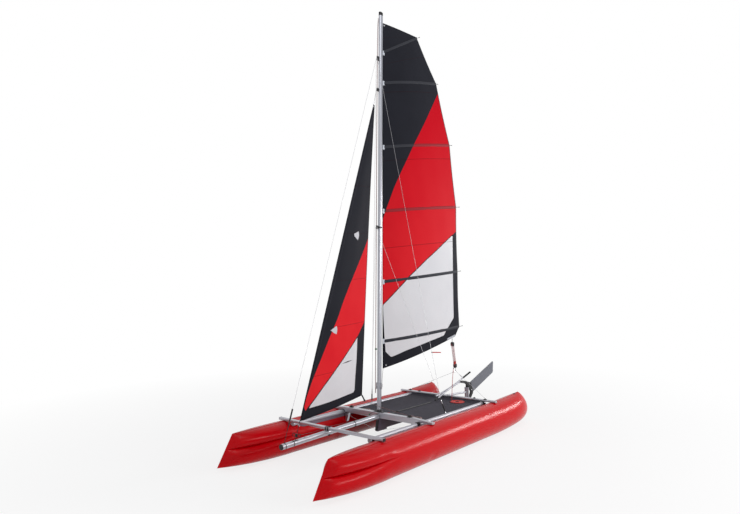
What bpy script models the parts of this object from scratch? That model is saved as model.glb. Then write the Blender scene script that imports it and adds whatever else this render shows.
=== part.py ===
"""Inflatable sailing catamaran: two tube hulls, a bolted aluminium frame, a sloop rig and a kick-up rudder.

Metres, +Z up. The bow points along -Y and port is +X. Y is 0 at the mast, until the whole boat is centred
over the origin at the end. The keels stand on Z = 0.
"""
import math

import bmesh
import bpy
from mathutils import Matrix, Vector

# Driving dimensions in metres and degrees. Rises and drops are measured from the top of the side tubes,
# and heights along the mast from its foot.
GAP = 0.0003

HULL_SPACING = 1.772
HULL_RADIUS = 0.2325
HULL_LENGTH = 5.004
BOW_FORWARD = 2.115
BOW_RAKE = 0.234
BOW_TAPER = 1.05
BOW_REACH = 1.20
BOW_LIFT = 0.072
BOW_TOP_DROP = 0.008
CREASE_DEPTH = 0.42
STERN_TAPER = 0.62
STERN_LIFT = 0.082
STERN_TOP_RISE = 0.050
STERN_RISE = 1.269
STERN_UNDERCUT = 0.075
STERN_OVERHANG = 0.31
SEAM_HALF_WIDTH = 0.006
HULL_SIDES = 28

TUBE_INSET = 0.169
TUBE_DIAMETER = 0.060
TUBE_OVERHANG = 0.045
PAD_THICKNESS = 0.0051
PAD_FRONT_INSET = 0.10
PAD_BACK_INSET = 0.16

FRONT_BEAM_Y = -1.044
FRONT_BEAM_LENGTH = 1.930
FRONT_BEAM_WIDTH = 0.050
FRONT_BEAM_HEIGHT = 0.036
BEAM_CORNER = 0.008
MAIN_BEAM_LENGTH = 1.901
MAIN_BEAM_WIDTH = 0.064
MAIN_BEAM_DROP = 0.035
MAIN_BEAM_RISE = 0.0455
MAIN_BEAM_TIP = 0.024
MAIN_BEAM_SHOULDER = 0.06
TAIL_CLEARANCE = 0.012
REAR_BEAM_Y = 1.739
REAR_BEAM_LENGTH = 1.884
REAR_BEAM_WIDTH = 0.055
REAR_BEAM_HEIGHT = 0.030

BRACKET_WIDTH = 0.040
BRACKET_INSET = 0.040
BRACKET_TOP = 0.085
BRACKET_FOOT = 0.022
BRACKET_LENGTH = 0.145

MAST_LENGTH = 6.018
MAST_RAKE = 2.17
MAST_CHORD = 0.075
MAST_THICKNESS = 0.055
MAST_FOOT_HEIGHT = 0.038
MAST_FOOT_LENGTH = 0.150
MAST_FOOT_PLATE = 0.012
MAST_FOOT_RADIUS = 0.046
HOUNDS_HEIGHT = 5.275
BAND_HEIGHT = 2.667
HALYARD_BLOCK_HEIGHT = 4.782
TANG_REACH = 0.052
TANG_THICKNESS = 0.012

TRAMPOLINE_THICKNESS = 0.006
STRAP_WIDTH = 0.050
STRAP_THICKNESS = 0.004
STRAP_LENGTH = 1.264

BOWSPRIT_DIAMETER = 0.070
BOWSPRIT_LENGTH = 1.80
BOWSPRIT_AFT_DROP = 0.0095

WIRE_DIAMETER = 0.004
LINK_RADIUS = 0.0035
SLEEVE_RADIUS = 0.010
TURNBUCKLE_RADIUS = 0.0055
SHROUD_FOOT_Y = 0.656
SHROUD_LINK = 0.034
SHROUD_SLEEVE = 0.109
SHROUD_TURNBUCKLE = 0.092
STAY_SPREAD = 0.010
FORESTAY_FOOT_INSET = 0.052
FORESTAY_LINK = 0.155
FORESTAY_TURNBUCKLE = 0.118
FORESTAY_SLEEVE = 0.136

SAIL_THICKNESS = 0.004
SAIL_SWING = 13.5
LUFF_RUNNING_GAP = 0.0013
MAIN_TACK_HEIGHT = 0.577
MAIN_LUFF = 5.309
MAIN_CLEW_HEIGHT = 1.009
MAIN_LEECH = 4.847
MAIN_CHORD = 1.595
MAIN_CAMBER = 0.055
TACK_SLACK = 0.028
BATTEN_WIDTH = 0.032
BATTEN_THICKNESS = 0.004
BATTEN_TIP = 0.025
BATTEN_SEAT = 0.0015

JIB_TACK_FORWARD = 1.5306
JIB_TACK_RISE = 0.1965
JIB_LUFF = 4.6726
JIB_RAKE = 19.217
JIB_CLEW_FORWARD = 0.3665
JIB_CLEW_RISE = 0.3403
JIB_HEAD_WIDTH = 0.030
JIB_CAMBER = 0.035

ARM_RADIUS = 0.016
ARM_LENGTH = 0.6035
ARM_DROP = 0.038
STOCK_DIAMETER = 0.076
STOCK_RISE = 0.060
STOCK_LENGTH = 0.180
HEAD_THICKNESS = 0.034
HEAD_CLEARANCE = 0.003
HEAD_BOSS_RADIUS = 0.018
BLADE_PIVOT_AFT = 0.145
BLADE_PIVOT_DROP = 0.068
BLADE_LENGTH = 0.911
BLADE_TIP_SLANT = 0.064
BLADE_TIP_RADIUS = 0.050
BLADE_LEADING = 0.053
BLADE_TRAILING = 0.139
BLADE_ROOT = 0.035
BLADE_THICKNESS = 0.018
BLADE_TONGUE = 0.020
BLADE_LIFT = 18.8
BLADE_EDGE = 0.005
PIVOT_PIN_RADIUS = 0.006
PIN_CLEARANCE = 0.0005
SLOT_CLEARANCE = 0.0015

TILLER_REACH = 0.965
TILLER_TIP_RISE = 0.046
TILLER_DIAMETER = 0.028
EXTENSION_LENGTH = 1.152
EXTENSION_SLOPE = 16.1
EXTENSION_RADIUS = 0.013
EXTENSION_OFFSET = 0.034
EXTENSION_OVERLAP = 0.068
EXTENSION_RISE = -0.0015
GRIP_LENGTH = 0.26
GRIP_RADIUS = 0.0145
JOINT_INSET = 0.013
JOINT_RADIUS = 0.011
JOINT_SLEEVE = 0.085

CASE_THICKNESS = 0.046
CASE_DROP = 0.218
CASE_FRONT = 0.066
CASE_BACK = 0.141
CASE_TOP_BACK = 0.106
CASE_WEB = 0.006
BOARD_PIVOT_Y = 0.046
BOARD_PIVOT_DROP = 0.140
BOARD_LENGTH = 0.86
BOARD_LEADING = 0.062
BOARD_TRAILING = 0.095
BOARD_THICKNESS = 0.020

BLOCK_HEIGHT = 0.070
BLOCK_LENGTH = 0.052
BLOCK_WIDTH = 0.040
BLOCK_SLOT = 0.029
BLOCK_HEAD = 0.017
SHEAVE_RADIUS = 0.016
SHEAVE_WIDTH = 0.026
SHEAVE_OFFSET = 0.008
BLOCK_LINK_RADIUS = 0.003
CLEAT_ARM_RADIUS = 0.006
LOWER_LINK = 0.070
SHEET_FOOT_SHARE = 0.95
UPPER_BLOCK_DROP = 0.100
FALLS_LENGTH = 0.391
FALLS_LEAN = 22.2
FALLS_SPREAD = 0.0075
ROPE_DIAMETER = 0.008
SHEET_DIAMETER = 0.006
BRIDLE_SPREAD = 0.766
COIL_CENTRE_X = 0.333
COIL_CENTRE_Y = 1.567
COIL_RADIUS = 0.120
COIL_HOLE = 0.016
JIB_COIL_X = 0.490
JIB_COIL_Y = 0.250
JIB_COIL_RADIUS = 0.077
JIB_COIL_HOLE = 0.052

CLEAT_X = 0.556
CLEAT_LENGTH = 0.056
CLEAT_WIDTH = 0.050
CLEAT_BASE = 0.010
CAM_RADIUS = 0.011
CAM_HEIGHT = 0.018
CAM_OFFSET = 0.015
SWIVEL_LENGTH = 0.055
DRUM_RISE = 0.0356
DRUM_RADIUS = 0.041
DRUM_WAIST = 0.018
DRUM_HEIGHT = 0.036
DRUM_FLANGE = 0.005
CLEW_BLOCK_LENGTH = 0.101
CLEW_BLOCK_LEAN = 33.0

# Places that follow from the driving dimensions.
BOW_Y = -BOW_FORWARD
STERN_Y = BOW_Y + HULL_LENGTH
HULL_X = HULL_SPACING / 2
HULL_Z = HULL_RADIUS
TUBE_X = HULL_X - TUBE_INSET
TUBE_RADIUS = TUBE_DIAMETER / 2
TUBE_Z = HULL_Z + math.sqrt((HULL_RADIUS + PAD_THICKNESS + TUBE_RADIUS) ** 2 - TUBE_INSET ** 2)
TUBE_TOP_Z = TUBE_Z + TUBE_RADIUS
DECK_Z = TUBE_Z + TRAMPOLINE_THICKNESS / 2
BEAM_Z = TUBE_TOP_Z + GAP
MAIN_TOP_Z = BEAM_Z + MAIN_BEAM_RISE
MAST_STEP_Z = MAIN_TOP_Z + MAST_FOOT_HEIGHT + 2 * GAP
RAKE = math.radians(MAST_RAKE)
MAST_AXIS = Vector((0.0, math.sin(RAKE), math.cos(RAKE)))
MAST_AFT = Vector((0.0, math.cos(RAKE), -math.sin(RAKE)))
LUFF_OFFSET = MAST_CHORD / 2 + LUFF_RUNNING_GAP
LUFF_SLOPE = math.radians(JIB_RAKE)
LUFF_AXIS = Vector((0.0, math.sin(LUFF_SLOPE), math.cos(LUFF_SLOPE)))
JIB_TACK = Vector((0.0, -JIB_TACK_FORWARD, TUBE_TOP_Z + JIB_TACK_RISE))
JIB_HEAD = JIB_TACK + LUFF_AXIS * JIB_LUFF
JIB_CLEW = Vector((0.0, -JIB_CLEW_FORWARD, TUBE_TOP_Z + JIB_CLEW_RISE))
STOCK_RADIUS = STOCK_DIAMETER / 2
STOCK_Y = REAR_BEAM_Y + REAR_BEAM_WIDTH / 2 + ARM_LENGTH + STOCK_RADIUS
STOCK_TOP_Z = TUBE_TOP_Z + STOCK_RISE
BLADE_PIVOT = Vector((0.0, STOCK_Y + BLADE_PIVOT_AFT, STOCK_TOP_Z - BLADE_PIVOT_DROP))
TILLER_TIP = Vector((0.0, STOCK_Y - TILLER_REACH, TUBE_TOP_Z + TILLER_TIP_RISE))
BOARD_PIVOT = Vector((0.0, BOARD_PIVOT_Y, TUBE_TOP_Z - BOARD_PIVOT_DROP))
SIDES = (("port", 1), ("starboard", -1))

# The mainsail's rows from foot to head, as shares of the luff, of the leech and of the widest chord.
MAIN_ROWS = (
    (0.0, 0.0, 0.937),
    (0.075, 0.033, 1.0),
    (0.241, 0.220, 0.982),
    (0.442, 0.442, 0.969),
    (0.628, 0.655, 0.882),
    (0.818, 0.859, 0.698),
    (0.909, 0.997, 0.438),
    (1.0, 1.0, 0.438),
)
BATTEN_ROWS = (1, 2, 3, 4, 5, 6)

ALUMINIUM = ("aluminium", (0.40, 0.40, 0.43), 0.35, 0.9)
BLACK_PLASTIC = ("black_plastic", (0.012, 0.012, 0.014), 0.45, 0.0)
RED_FABRIC = ("red_hull_fabric", (0.58, 0.0, 0.006), 0.35, 0.0)
GREY_FABRIC = ("grey_pad_fabric", (0.15, 0.12, 0.16), 0.6, 0.0)
MESH_FABRIC = ("trampoline_mesh", (0.085, 0.08, 0.10), 0.85, 0.0)
SAILCLOTH = ("black_sailcloth", (0.02, 0.02, 0.03), 0.6, 0.0)
BATTEN_CLOTH = ("batten_pocket", (0.02, 0.02, 0.025), 0.7, 0.0)
STEEL = ("stainless_steel", (0.5, 0.5, 0.52), 0.25, 1.0)
ROPE_RED = ("red_rope", (0.5, 0.02, 0.03), 0.8, 0.0)
ROPE_BLACK = ("black_rope", (0.02, 0.02, 0.02), 0.8, 0.0)
ROPE_BROWN = ("brown_rope", (0.16, 0.09, 0.09), 0.8, 0.0)
BLADE_GREY = ("blade_grey", (0.115, 0.12, 0.135), 0.4, 0.0)

for old in list(bpy.data.objects):
    bpy.data.objects.remove(old, do_unlink=True)
boat_collection = bpy.data.collections.new("inflatable_catamaran")
cutter_collection = bpy.data.collections.new("cutters")
bpy.context.scene.collection.children.link(boat_collection)
bpy.context.scene.collection.children.link(cutter_collection)


def material(look):
    """The Principled material of a look, made once."""
    name, colour, roughness, metallic = look
    found = bpy.data.materials.get(name)
    if found:
        return found
    made = bpy.data.materials.new(name)
    made.use_nodes = True
    shader = made.node_tree.nodes["Principled BSDF"]
    shader.inputs["Base Color"].default_value = (*colour, 1.0)
    shader.inputs["Roughness"].default_value = roughness
    shader.inputs["Metallic"].default_value = metallic
    made.diffuse_color = (*colour, 1.0)
    return made


def add_empty(name, place):
    """An empty that carries the pieces of one moving body, on that body's axis."""
    empty = bpy.data.objects.new(name, None)
    empty.location = place
    empty.empty_display_size = 0.1
    boat_collection.objects.link(empty)
    bpy.context.view_layer.update()
    return empty


def add_object(name, data, look, parent=None, place=None):
    """Link a piece, give it its material and hang it under its body's empty."""
    piece = bpy.data.objects.new(name, data)
    boat_collection.objects.link(piece)
    data.materials.append(material(look))
    if place is not None:
        piece.matrix_world = place
    if parent is not None:
        world = piece.matrix_world.copy()
        piece.parent = parent
        piece.matrix_parent_inverse = parent.matrix_world.inverted()
        piece.matrix_basis = world
    return piece


def frame_of(origin, along, up=Vector((0, 0, 1))):
    """A placing matrix whose local Z runs along a direction, with local Y as near to up as it can be."""
    z_axis = Vector(along).normalized()
    x_axis = Vector(up).cross(z_axis)
    if x_axis.length < 1e-6:
        x_axis = Vector((1, 0, 0))
    x_axis.normalize()
    y_axis = z_axis.cross(x_axis)
    turn = Matrix((x_axis, y_axis, z_axis)).transposed().to_4x4()
    return Matrix.Translation(origin) @ turn


def smooth(mesh, angle=35):
    mesh.shade_smooth()
    mesh.set_sharp_from_angle(angle=math.radians(angle))


def bevelled(piece, width, segments=2, angle=30):
    edge = piece.modifiers.new("rounded_edges", "BEVEL")
    edge.width = width
    edge.segments = segments
    edge.limit_method = "ANGLE"
    edge.angle_limit = math.radians(angle)
    return piece


def add_box(name, size, centre, look, parent=None, turn=None, bevel=0.0):
    mesh = bpy.data.meshes.new(name)
    form = bmesh.new()
    bmesh.ops.create_cube(form, size=1.0, matrix=Matrix.Diagonal((*size, 1.0)))
    form.to_mesh(mesh)
    form.free()
    place = Matrix.Translation(centre) @ (turn if turn is not None else Matrix.Identity(4))
    piece = add_object(name, mesh, look, parent, place)
    if bevel:
        bevelled(piece, bevel)
    return piece


def add_rod(name, start, end, radius, look, parent=None, sides=16, end_radius=None):
    """A round bar from one point to another, tapered where an end radius is given."""
    start = Vector(start)
    end = Vector(end)
    mesh = bpy.data.meshes.new(name)
    form = bmesh.new()
    bmesh.ops.create_cone(form, cap_ends=True, segments=sides, radius1=radius,
                          radius2=radius if end_radius is None else end_radius, depth=(end - start).length)
    form.to_mesh(mesh)
    form.free()
    smooth(mesh)
    return add_object(name, mesh, look, parent, frame_of((start + end) / 2, end - start))


def add_turned(name, profile, place, look, parent=None, steps=16):
    """A turned piece: radius and height pairs from bottom to top, spun about local Z by a Screw modifier."""
    line = [(0.0, profile[-1][1])] + [pair for pair in profile[::-1]] + [(0.0, profile[0][1])]
    mesh = bpy.data.meshes.new(name)
    mesh.from_pydata([(radius, 0.0, height) for radius, height in line],
                     [(i, i + 1) for i in range(len(line) - 1)], [])
    piece = add_object(name, mesh, look, parent, place)
    turn = piece.modifiers.new("turned", "SCREW")
    turn.steps = steps
    turn.render_steps = steps
    turn.use_merge_vertices = True
    turn.merge_threshold = 0.00005
    turn.use_smooth_shade = True
    return piece


def add_wire(name, points, radius, look, parent=None, resolution=1):
    """A bent bar or a rope along points, as a curve with round section and filled caps."""
    curve = bpy.data.curves.new(name, "CURVE")
    curve.dimensions = "3D"
    curve.bevel_depth = radius
    curve.bevel_resolution = resolution
    curve.use_fill_caps = True
    line = curve.splines.new("POLY")
    line.points.add(len(points) - 1)
    for knot, point in zip(line.points, points):
        knot.co = (*point, 1.0)
    return add_object(name, curve, look, parent)


def smooth_route(knots, steps):
    """Points on a smooth curve through the knots, with the same number of steps between each two."""
    knots = [Vector(knot) for knot in knots]
    guarded = [knots[0] * 2 - knots[1]] + knots + [knots[-1] * 2 - knots[-2]]
    route = []
    for i in range(1, len(guarded) - 2):
        before, start, end, after = guarded[i - 1:i + 3]
        for k in range(steps):
            t = k / steps
            route.append(0.5 * (2 * start + (end - before) * t + (2 * before - 5 * start + 4 * end - after) * t * t
                                + (3 * start - before - 3 * end + after) * t ** 3))
    route.append(knots[-1])
    return route


def add_plate(name, outline, thickness, place, look, parent=None, bevel=0.0):
    """A flat plate: a closed outline in the local XY plane, extruded to both sides of it."""
    curve = bpy.data.curves.new(name, "CURVE")
    curve.dimensions = "2D"
    curve.fill_mode = "BOTH"
    curve.extrude = thickness / 2
    line = curve.splines.new("POLY")
    line.points.add(len(outline) - 1)
    for knot, point in zip(line.points, outline):
        knot.co = (point[0], point[1], 0.0, 1.0)
    line.use_cyclic_u = True
    flat = add_object(name + "_outline", curve, look, None, place)
    piece = solid_of(flat, name, look, parent)
    if bevel:
        bevelled(piece, bevel)
    return piece


def solid_of(curve_piece, name, look, parent):
    """Turn a curve object into a welded mesh object."""
    bpy.context.view_layer.update()
    evaluated = curve_piece.evaluated_get(bpy.context.evaluated_depsgraph_get())
    mesh = bpy.data.meshes.new_from_object(evaluated)
    mesh.name = name
    mesh.materials.clear()
    form = bmesh.new()
    form.from_mesh(mesh)
    bmesh.ops.remove_doubles(form, verts=form.verts, dist=1e-6)
    bmesh.ops.recalc_face_normals(form, faces=form.faces)
    form.to_mesh(mesh)
    form.free()
    place = curve_piece.matrix_world.copy()
    bpy.data.objects.remove(curve_piece, do_unlink=True)
    return add_object(name, mesh, look, parent, place)


def add_loft(name, rings, look, parent=None, place=None, angle=35):
    """Skin closed rings of equal point counts, with a flat cap at each end."""
    mesh = bpy.data.meshes.new(name)
    form = bmesh.new()
    rows = [[form.verts.new(point) for point in ring] for ring in rings]
    count = len(rows[0])
    for before, after in zip(rows, rows[1:]):
        for i in range(count):
            form.faces.new((before[i], before[(i + 1) % count], after[(i + 1) % count], after[i]))
    form.faces.new(rows[0][::-1])
    form.faces.new(rows[-1])
    bmesh.ops.recalc_face_normals(form, faces=form.faces)
    form.to_mesh(mesh)
    form.free()
    smooth(mesh, angle)
    return add_object(name, mesh, look, parent, place)


def set_aside(helper):
    """Keep a cutter or a joined shape as a hidden guide in its own collection."""
    for holder in list(helper.users_collection):
        holder.objects.unlink(helper)
    cutter_collection.objects.link(helper)
    helper.hide_render = True
    helper.display_type = "WIRE"


def cut_away(piece, cutter):
    """Cut a closed mesh out of a piece."""
    set_aside(cutter)
    cut = piece.modifiers.new("cut_" + cutter.name, "BOOLEAN")
    cut.operation = "DIFFERENCE"
    cut.object = cutter
    return piece


def joined(piece, shape):
    """Join a helper solid into a piece by a Boolean union."""
    set_aside(shape)
    join = piece.modifiers.new("join_" + shape.name, "BOOLEAN")
    join.operation = "UNION"
    join.object = shape
    return piece


def arc(centre, radius, start, end, steps):
    """Points on an arc in a plane, angles in degrees."""
    points = []
    for i in range(steps + 1):
        angle = math.radians(start + (end - start) * i / steps)
        points.append((centre[0] + radius * math.cos(angle), centre[1] + radius * math.sin(angle)))
    return points


def rounded_rectangle(width, height, radius, steps=3):
    """Outline of a rectangle with round corners, centred, anticlockwise."""
    half_w = width / 2 - radius
    half_h = height / 2 - radius
    outline = []
    for x, y, start in ((half_w, half_h, 0), (-half_w, half_h, 90), (-half_w, -half_h, 180), (half_w, -half_h, 270)):
        outline += arc((x, y), radius, start, start + 90, steps)
    return outline


def upright_frame(y, z, lift=0.0):
    """Local X aft, local Y up and local Z to port, turned up about the X axis by an angle in degrees."""
    sideways = Matrix(((0, 0, 1, 0), (1, 0, 0, 0), (0, 1, 0, 0), (0, 0, 0, 1)))
    return Matrix.Translation((0, y, z)) @ Matrix.Rotation(math.radians(lift), 4, "X") @ sideways


def cross_frame():
    """Local X to port, local Y up, local Z forward."""
    return frame_of((0, 0, 0), (0, -1, 0), (0, 0, 1))


def hull_station_list():
    """Distances from the bow at which the hull has a ring: close together at both ends."""
    bow = [BOW_REACH * (i / 12) ** 1.7 for i in range(13)]
    stern = [HULL_LENGTH - STERN_RISE * (i / 12) ** 1.7 for i in range(13)]
    middle = [bow[-1] + (stern[-1] - bow[-1]) * i / 5 for i in range(1, 5)]
    return bow + middle + stern[::-1]


def taper(distance, reach):
    """How full the hull is, from 0 at the seam to 1 where its round part starts."""
    if distance >= reach:
        return 1.0
    return math.sqrt(1.0 - (1.0 - distance / reach) ** 2)


def hull_ring(distance, x_centre):
    """One closed ring of the hull at a distance from the bow seam."""
    from_stern = HULL_LENGTH - distance
    nominal_y = BOW_Y + distance
    bow_near = max(0.0, 1.0 - distance / BOW_REACH)
    stern_near = max(0.0, 1.0 - from_stern / STERN_RISE)
    bottom = BOW_LIFT * bow_near ** 2.2 + STERN_LIFT * stern_near ** 1.6
    top = 2 * HULL_RADIUS - BOW_TOP_DROP * bow_near + STERN_TOP_RISE * stern_near ** 1.2
    half_height = (top - bottom) / 2
    middle = (top + bottom) / 2
    full = min(taper(distance, BOW_TAPER), taper(from_stern, STERN_TAPER))
    half_width = max(SEAM_HALF_WIDTH, HULL_RADIUS * full)
    crease = CREASE_DEPTH * bow_near ** 1.2
    crease_v = 0.12 - 0.45 * distance / BOW_REACH
    bow_shift = max(0.0, 1.0 - distance / (BOW_TAPER * 0.9))
    stern_shift = max(0.0, 1.0 - from_stern / STERN_TAPER) ** 1.5
    ring = []
    for i in range(HULL_SIDES):
        angle = 2 * math.pi * i / HULL_SIDES
        across = math.sin(angle)
        v = -math.cos(angle)
        pinch = 1.0 - crease * math.exp(-((v - crease_v) / 0.30) ** 2) * min(1.0, distance / 0.03)
        height = middle + half_height * v
        rise = (v + 1.0) / 2.0
        y = nominal_y + BOW_RAKE * rise * bow_shift
        y -= stern_shift * (STERN_UNDERCUT * (1.0 - rise) ** 3 + STERN_OVERHANG * max(0.0, rise - 0.22) ** 1.6)
        ring.append((x_centre + half_width * across * pinch, y, height))
    return ring


def build_hulls():
    for side, sign in SIDES:
        rings = [hull_ring(distance, sign * HULL_X) for distance in hull_station_list()]
        add_loft("hull_" + side, rings, RED_FABRIC, angle=60)


def build_pads():
    """A wedge of padded fabric fills the corner between each side tube and its hull."""
    front = max(FRONT_BEAM_Y + PAD_FRONT_INSET, BOW_Y + BOW_REACH)
    back = min(REAR_BEAM_Y - PAD_BACK_INSET, STERN_Y - STERN_RISE)
    line = math.degrees(math.atan2(TUBE_Z - HULL_Z, -TUBE_INSET))
    hull_arc = arc((0.0, HULL_Z), HULL_RADIUS + GAP, line - 9, line + 15, 8)
    tube_arc = arc((-TUBE_INSET, TUBE_Z), TUBE_RADIUS + GAP, line + 180 - 62, line + 180 + 40, 8)
    section = hull_arc + tube_arc
    for side, sign in SIDES:
        rings = [[(sign * (HULL_X + x), y, z) for x, z in section] for y in (front, back)]
        add_loft("hull_pad_" + side, rings, GREY_FABRIC, angle=50)


def build_side_tubes():
    front = FRONT_BEAM_Y - FRONT_BEAM_WIDTH / 2 - TUBE_OVERHANG
    back = REAR_BEAM_Y + REAR_BEAM_WIDTH / 2 + TUBE_OVERHANG
    for side, sign in SIDES:
        x = sign * TUBE_X
        add_rod("side_tube_" + side, (x, front, TUBE_Z), (x, back, TUBE_Z), TUBE_RADIUS, ALUMINIUM, sides=24)


def build_flat_beam(name, y, length, width, height):
    """A crossbeam of rounded box section that lies on both side tubes."""
    section = rounded_rectangle(width, height, BEAM_CORNER)
    z = BEAM_Z + height / 2
    rings = [[(x, y + u, z + w) for u, w in section] for x in (-length / 2, length / 2)]
    add_loft(name, rings, ALUMINIUM)


def build_main_beam():
    """The mast beam: deep between the side tubes, cut away under its tails, which lie on the tubes."""
    half = MAIN_BEAM_LENGTH / 2
    inner = TUBE_X - TUBE_RADIUS - TAIL_CLEARANCE
    shoulder = TUBE_X - MAIN_BEAM_SHOULDER
    bottom = TUBE_TOP_Z - MAIN_BEAM_DROP
    outline = [(-half, BEAM_Z), (-inner, BEAM_Z), (-inner, bottom), (inner, bottom), (inner, BEAM_Z), (half, BEAM_Z),
               (half, BEAM_Z + MAIN_BEAM_TIP), (shoulder, MAIN_TOP_Z), (-shoulder, MAIN_TOP_Z),
               (-half, BEAM_Z + MAIN_BEAM_TIP)]
    add_plate("main_beam", outline, MAIN_BEAM_WIDTH, cross_frame(), ALUMINIUM, bevel=0.006)


def build_frame():
    build_side_tubes()
    build_flat_beam("front_beam", FRONT_BEAM_Y, FRONT_BEAM_LENGTH, FRONT_BEAM_WIDTH, FRONT_BEAM_HEIGHT)
    build_main_beam()
    build_flat_beam("rear_beam", REAR_BEAM_Y, REAR_BEAM_LENGTH, REAR_BEAM_WIDTH, REAR_BEAM_HEIGHT)


def build_beam_brackets():
    """A tapered plate under each end of the main beam reaches down to the hull's shoulder."""
    top = TUBE_TOP_Z - MAIN_BEAM_DROP - GAP
    outer = TUBE_X - TUBE_RADIUS - TAIL_CLEARANCE
    for side, sign in SIDES:
        outline = [(outer - BRACKET_TOP, top), (outer, top), (outer - BRACKET_FOOT / 2, top - BRACKET_LENGTH + 0.01),
                   (outer - BRACKET_FOOT, top - BRACKET_LENGTH), (outer - BRACKET_INSET, top - BRACKET_LENGTH + 0.012)]
        mirrored = [(sign * x, z) for x, z in outline]
        add_plate("beam_bracket_" + side, mirrored, BRACKET_WIDTH, cross_frame(), ALUMINIUM, bevel=0.002)


def build_deck():
    half = TUBE_X - TUBE_RADIUS - GAP
    front = MAIN_BEAM_WIDTH / 2 + GAP
    back = REAR_BEAM_Y + REAR_BEAM_WIDTH / 2
    add_box("trampoline", (2 * half, back - front, TRAMPOLINE_THICKNESS), (0, (front + back) / 2, TUBE_Z), MESH_FABRIC)
    strap_z = DECK_Z + GAP + STRAP_THICKNESS / 2
    add_box("hiking_strap", (STRAP_WIDTH, STRAP_LENGTH, STRAP_THICKNESS),
            (0, front + TAIL_CLEARANCE + STRAP_LENGTH / 2, strap_z), ROPE_BLACK)


def mast_point(t, aft=0.0, port=0.0):
    """A place on the raked mast: t up it from its foot, then aft and to port of its centre line."""
    step = Vector((0.0, 0.0, MAST_STEP_Z))
    return step + MAST_AXIS * t + MAST_AFT * aft + Vector((port, 0, 0))


def mast_frame(t, aft=0.0):
    """Local X to port, local Y aft and local Z up the mast."""
    turn = Matrix((Vector((1, 0, 0)), MAST_AFT, MAST_AXIS)).transposed().to_4x4()
    return Matrix.Translation(mast_point(t, aft)) @ turn


def build_mast():
    """An oval extrusion on a foot: a plate on the beam with a cone that the mast stands on."""
    bottom = MAIN_TOP_Z + GAP
    top = MAST_STEP_Z - MAST_CHORD / 2 * math.sin(RAKE) - GAP
    foot = add_box("mast_foot", (MAST_FOOT_LENGTH, MAIN_BEAM_WIDTH - BEAM_CORNER, MAST_FOOT_PLATE),
                   (0, 0, bottom + MAST_FOOT_PLATE / 2), BLACK_PLASTIC, bevel=0.003)
    cone = add_rod("foot_cone", (0, 0, bottom + MAST_FOOT_PLATE / 3), (0, 0, top), MAST_FOOT_RADIUS, BLACK_PLASTIC,
                   sides=20, end_radius=MAST_CHORD / 2)
    joined(foot, cone)
    section = []
    for i in range(20):
        angle = 2 * math.pi * i / 20
        section.append((MAST_THICKNESS / 2 * math.sin(angle), MAST_CHORD / 2 * math.cos(angle)))
    rings = [[(x, y, z) for x, y in section] for z in (0.0, MAST_LENGTH)]
    add_loft("mast", rings, ALUMINIUM, None, mast_frame(0.0))


def build_fittings():
    """Tangs on the front of the mast that take the stays, and the jib halyard's block."""
    for name, t, height in (("hounds_tang", HOUNDS_HEIGHT, 0.07), ("lower_shroud_tang", BAND_HEIGHT, 0.05),
                            ("jib_halyard_block", HALYARD_BLOCK_HEIGHT, 0.05)):
        front = -MAST_CHORD / 2 - GAP
        add_box(name, (TANG_THICKNESS, TANG_REACH, height), mast_point(t, front - TANG_REACH / 2), STEEL,
                turn=mast_frame(t).to_3x3().to_4x4(), bevel=0.002)


def stay_end(t):
    """Where a stay meets its tang on the mast's front."""
    return mast_point(t, -MAST_CHORD / 2 - TANG_REACH - 0.003)


def build_shrouds():
    """Both shrouds of a side rise from one turnbuckle with its sleeve, which stands on the side tube."""
    sleeve_end = SHROUD_LINK + SHROUD_SLEEVE
    length = sleeve_end + SHROUD_TURNBUCKLE
    profile = [(LINK_RADIUS, 0.0), (LINK_RADIUS, SHROUD_LINK), (SLEEVE_RADIUS, SHROUD_LINK), (SLEEVE_RADIUS, sleeve_end),
               (TURNBUCKLE_RADIUS, sleeve_end), (TURNBUCKLE_RADIUS, length)]
    for side, sign in SIDES:
        foot = Vector((sign * TUBE_X, SHROUD_FOOT_Y, TUBE_TOP_Z + GAP))
        upper = stay_end(HOUNDS_HEIGHT) + Vector((sign * STAY_SPREAD, 0, 0))
        lower = stay_end(BAND_HEIGHT) + Vector((sign * STAY_SPREAD, 0, 0))
        along = (lower - foot).normalized()
        foot += along * LINK_RADIUS / 3
        top = foot + along * length
        add_turned("shroud_adjuster_" + side, profile, frame_of(foot, along), BLACK_PLASTIC)
        shift = WIRE_DIAMETER / 2 + GAP
        for level, head, sense in (("upper", upper, 1), ("lower", lower, -1)):
            start = top + Vector((0, sense * shift, 0)) - along * (along.y * sense * shift)
            start += along * (GAP + WIRE_DIAMETER / 2 * (head - top).angle(along))
            add_rod("%s_shroud_%s" % (level, side), start, head, WIRE_DIAMETER / 2, STEEL, sides=8)


def bowsprit_aft_y():
    return -MAIN_BEAM_WIDTH / 2 - GAP


def bowsprit_line(y):
    """Height of the bowsprit's centre line. It touches the front beam from below."""
    touch_z = BEAM_Z - GAP - BOWSPRIT_DIAMETER / 2 - GAP
    aft_z = TUBE_TOP_Z - BOWSPRIT_AFT_DROP
    slope = (aft_z - touch_z) / (bowsprit_aft_y() - FRONT_BEAM_Y)
    return touch_z + slope * (y - FRONT_BEAM_Y)


def bowsprit_top(y):
    return Vector((0, y, bowsprit_line(y) + BOWSPRIT_DIAMETER / 2))


def build_bowsprit():
    aft = bowsprit_aft_y() - 0.002
    front = bowsprit_aft_y() - BOWSPRIT_LENGTH
    add_rod("bowsprit", (0, aft, bowsprit_line(aft)), (0, front, bowsprit_line(front)), BOWSPRIT_DIAMETER / 2,
            ALUMINIUM, sides=24)


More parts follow.
